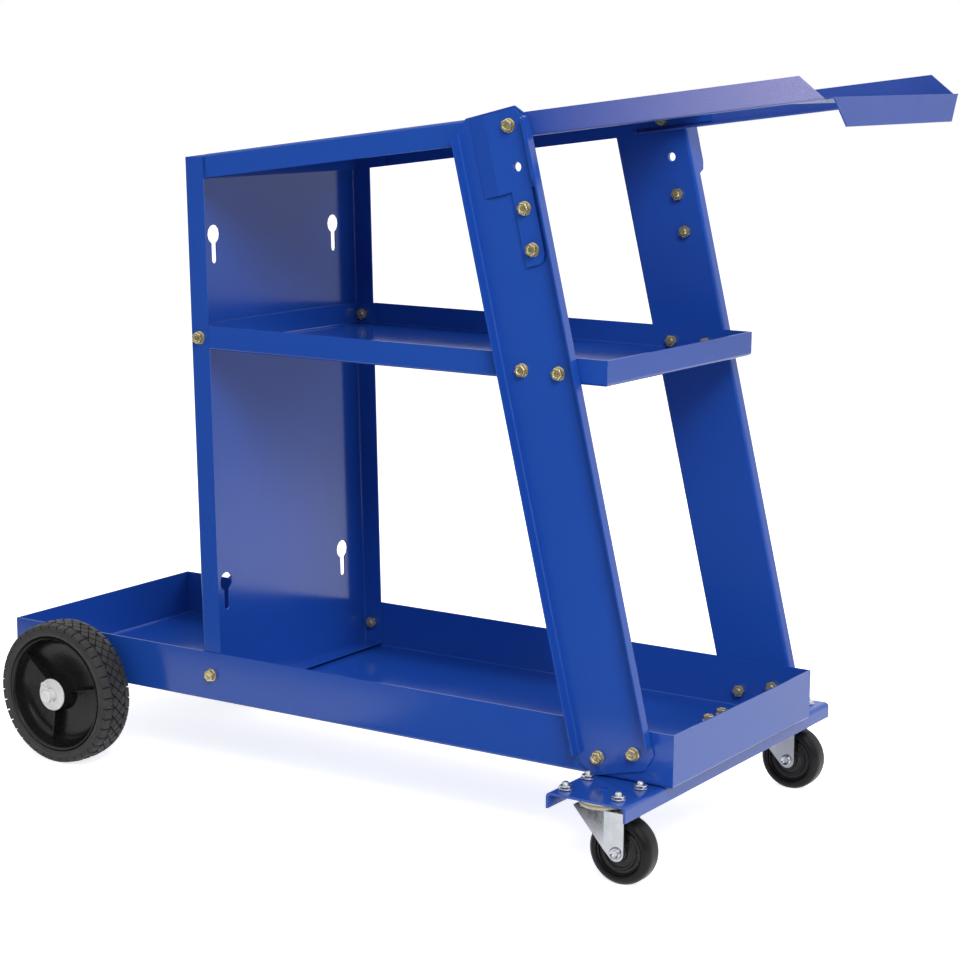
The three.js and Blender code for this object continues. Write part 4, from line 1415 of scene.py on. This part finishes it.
@dataclass(frozen=True)
class Lamp:
    """A soft light, with its size in metres, its power in watts, and whether it shows in gloss."""

    name: str
    at: Triple
    aim: Triple
    size: Point
    power: float
    glare: bool = False

    def hang(self) -> None:
        """Put the light in its place, facing its aim."""
        data = bpy.data.lights.new(self.name, "AREA")
        data.energy = self.power
        data.shape = "RECTANGLE"
        data.size, data.size_y = self.size
        lamp = bpy.data.objects.new(self.name, data)
        bpy.context.scene.collection.objects.link(lamp)
        lamp.location = self.at
        lamp.visible_glossy = self.glare
        way = Vector(self.aim) - Vector(self.at)
        lamp.rotation_euler = way.to_track_quat("-Z", "Y").to_euler()


LAMPS = (
    Lamp("key", (2.2, -2.3, 2.8), (0.1, 0, 0.35), (1.6, 1.6), 98),
    Lamp("glow", (2.2, -2.4, 2.8), (0.1, 0, 0.35), (1.6, 1.6), 16, True),
    Lamp("back", (0.4, 1.8, 2.0), (0, 0, 0.3), (1.6, 1.6), 34),
    Lamp("edge", (2.5, -1.4, 0.9), (0.2, -0.1, 0.45), (0.25, 0.9), 3, True),
    Lamp("fill", (-2.6, -2.8, 1.6), (-0.1, 0, 0.4), (2.4, 2.4), 6),
    Lamp("top", (0.3, -0.2, 3.4), (0, 0, 0.3), (2.4, 2.4), 7),
)


@dataclass
class Studio:
    """Floor, lights and camera at the photograph's viewing angle."""

    camera_at: Triple = (1.5656, -2.3656, 0.8779)
    yaw: float = 0.57359
    pitch: float = 0.17633
    roll: float = 0.00876
    lens: float = 90.0
    sensor: float = 36.0
    reach: float = 50.0
    sky: float = 0.40
    near_gloss: float = 0.08
    sky_far: Point = (-0.35, 0.25)
    sky_high: Point = (0.2, 0.55)
    floor_size: float = 40.0
    floor_grey: float = 0.86
    floor_lift: float = 0.8
    gloss_lift: float = 0.42
    floor_near: Point = (-0.60, -0.65)
    card_way: Point = (0.766, -0.643)
    card_edge: Point = (0.42, 0.39)
    card_end: Point = (-0.25, -0.2)
    card_back: Point = (-0.28, -0.32)

    def camera(self) -> None:
        """Place the camera."""
        data = bpy.data.cameras.new("camera")
        data.lens = self.lens
        data.sensor_width = self.sensor
        data.clip_end = self.reach
        cam = bpy.data.objects.new("camera", data)
        bpy.context.scene.collection.objects.link(cam)
        cy, sy = math.cos(self.yaw), math.sin(self.yaw)
        cp, sp = math.cos(self.pitch), math.sin(self.pitch)
        ahead = Vector((-sy * cp, cy * cp, -sp))
        right = Vector((cy, sy, 0))
        up = right.cross(ahead)
        cr, sr = math.cos(self.roll), math.sin(self.roll)
        axes = (right * cr + up * sr, up * cr - right * sr, -ahead)
        turn = Matrix(axes).transposed().to_4x4()
        cam.matrix_world = Matrix.Translation(self.camera_at) @ turn
        bpy.context.scene.camera = cam

    @staticmethod
    def seen(path: bpy.types.NodeOutputs, wire: Wiring) -> Socket:
        """Mark rays that come straight from the camera."""
        return wire.math("MAXIMUM", path["Is Camera Ray"], path["Is Transmission Ray"])

    def world(self) -> None:
        """Give a soft light all round, white to the camera and to gloss that looks past the cart."""
        world = bpy.data.worlds.new("studio")
        bpy.context.scene.world = world
        world.use_nodes = True
        world.node_tree.nodes.clear()
        wire = Wiring(world.node_tree)
        path = wire.add("ShaderNodeLightPath").outputs
        axes = wire.axes("Generated")
        beyond = wire.ramp(axes["Y"], self.sky_far, (self.near_gloss, 1.0))
        bright = wire.math("MAXIMUM", beyond, wire.ramp(axes["Z"], self.sky_high))
        gloss = wire.mix(Mix.FLOAT, path["Is Glossy Ray"], self.sky, bright)
        light = wire.add("ShaderNodeBackground", in_Color=(1, 1, 1, 1))
        wire.link(wire.mix(Mix.FLOAT, self.seen(path, wire), gloss, 1.0), light.inputs["Strength"])
        wire.link(light.outputs[0], wire.add("ShaderNodeOutputWorld").inputs["Surface"])

    def dark_floor(self, wire: Wiring) -> Socket:
        """Mark where gloss finds the floor dark: near the camera, and on a slanted card by the casters.

        Args:
            wire: Wiring of the floor's material.

        Returns:
            The mark, from 0 to 1.
        """
        axes = wire.axes("Object")
        way = [wire.math("MULTIPLY", axes[axis], part) for axis, part in zip("XY", self.card_way)]
        card = wire.ramp(wire.math("ADD", *way), self.card_edge)
        for axis, limits in (("X", self.card_end), ("Y", self.card_back)):
            card = wire.math("MULTIPLY", card, wire.ramp(axes[axis], limits))
        return wire.math("MAXIMUM", wire.ramp(axes["Y"], self.floor_near), card)

    def floor(self) -> None:
        """Lay a plain pale floor that reads white and keeps the cart's shadow."""
        deselect()
        bpy.ops.mesh.primitive_plane_add(size=self.floor_size)
        floor = bpy.context.active_object
        floor.name = "studio_floor"
        made = bpy.data.materials.new("pale_floor")
        made.use_nodes = True
        tree = made.node_tree
        wire = Wiring(tree)
        shader = tree.nodes["Principled BSDF"]
        shader.inputs["Base Color"].default_value = (*[self.floor_grey] * 3, 1)
        shader.inputs["Roughness"].default_value = 0.9
        shader.inputs["Specular IOR Level"].default_value = 0.0
        shader.inputs["Emission Color"].default_value = (1, 1, 1, 1)
        path = wire.add("ShaderNodeLightPath").outputs
        straight = wire.math("MULTIPLY", self.seen(path, wire), self.floor_lift)
        glossy = wire.math("MULTIPLY", path["Is Glossy Ray"], self.gloss_lift)
        wire.link(wire.math("ADD", straight, glossy), shader.inputs["Emission Strength"])
        dark = wire.add("ShaderNodeEmission", in_Strength=self.near_gloss)
        mix = wire.add("ShaderNodeMixShader")
        share = wire.math("MULTIPLY", path["Is Glossy Ray"], self.dark_floor(wire))
        for target, source in zip(mix.inputs, (share, shader.outputs[0], dark.outputs[0])):
            wire.link(source, target)
        wire.link(mix.outputs[0], tree.nodes["Material Output"].inputs["Surface"])
        floor.data.materials.append(made)

    def build(self) -> None:
        """Set up the whole studio."""
        bpy.context.scene.view_settings.view_transform = "Standard"
        self.camera()
        self.world()
        self.floor()
        for lamp in LAMPS:
            lamp.hang()


def main() -> None:
    """Build the studio and dress every part of the cart."""
    logging.basicConfig(level=logging.INFO, format="%(name)s: %(message)s")
    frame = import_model()
    Studio().build()
    shop = PaintShop(frame)
    fasteners = Fasteners(shop)
    makers: Iterable[object] = (
        SheetWork(shop), fasteners, RearWheel(shop), Casters(shop, fasteners)
    )
    for maker in makers:
        maker.build()
    deselect()


if __name__ == "__main__":
    main()
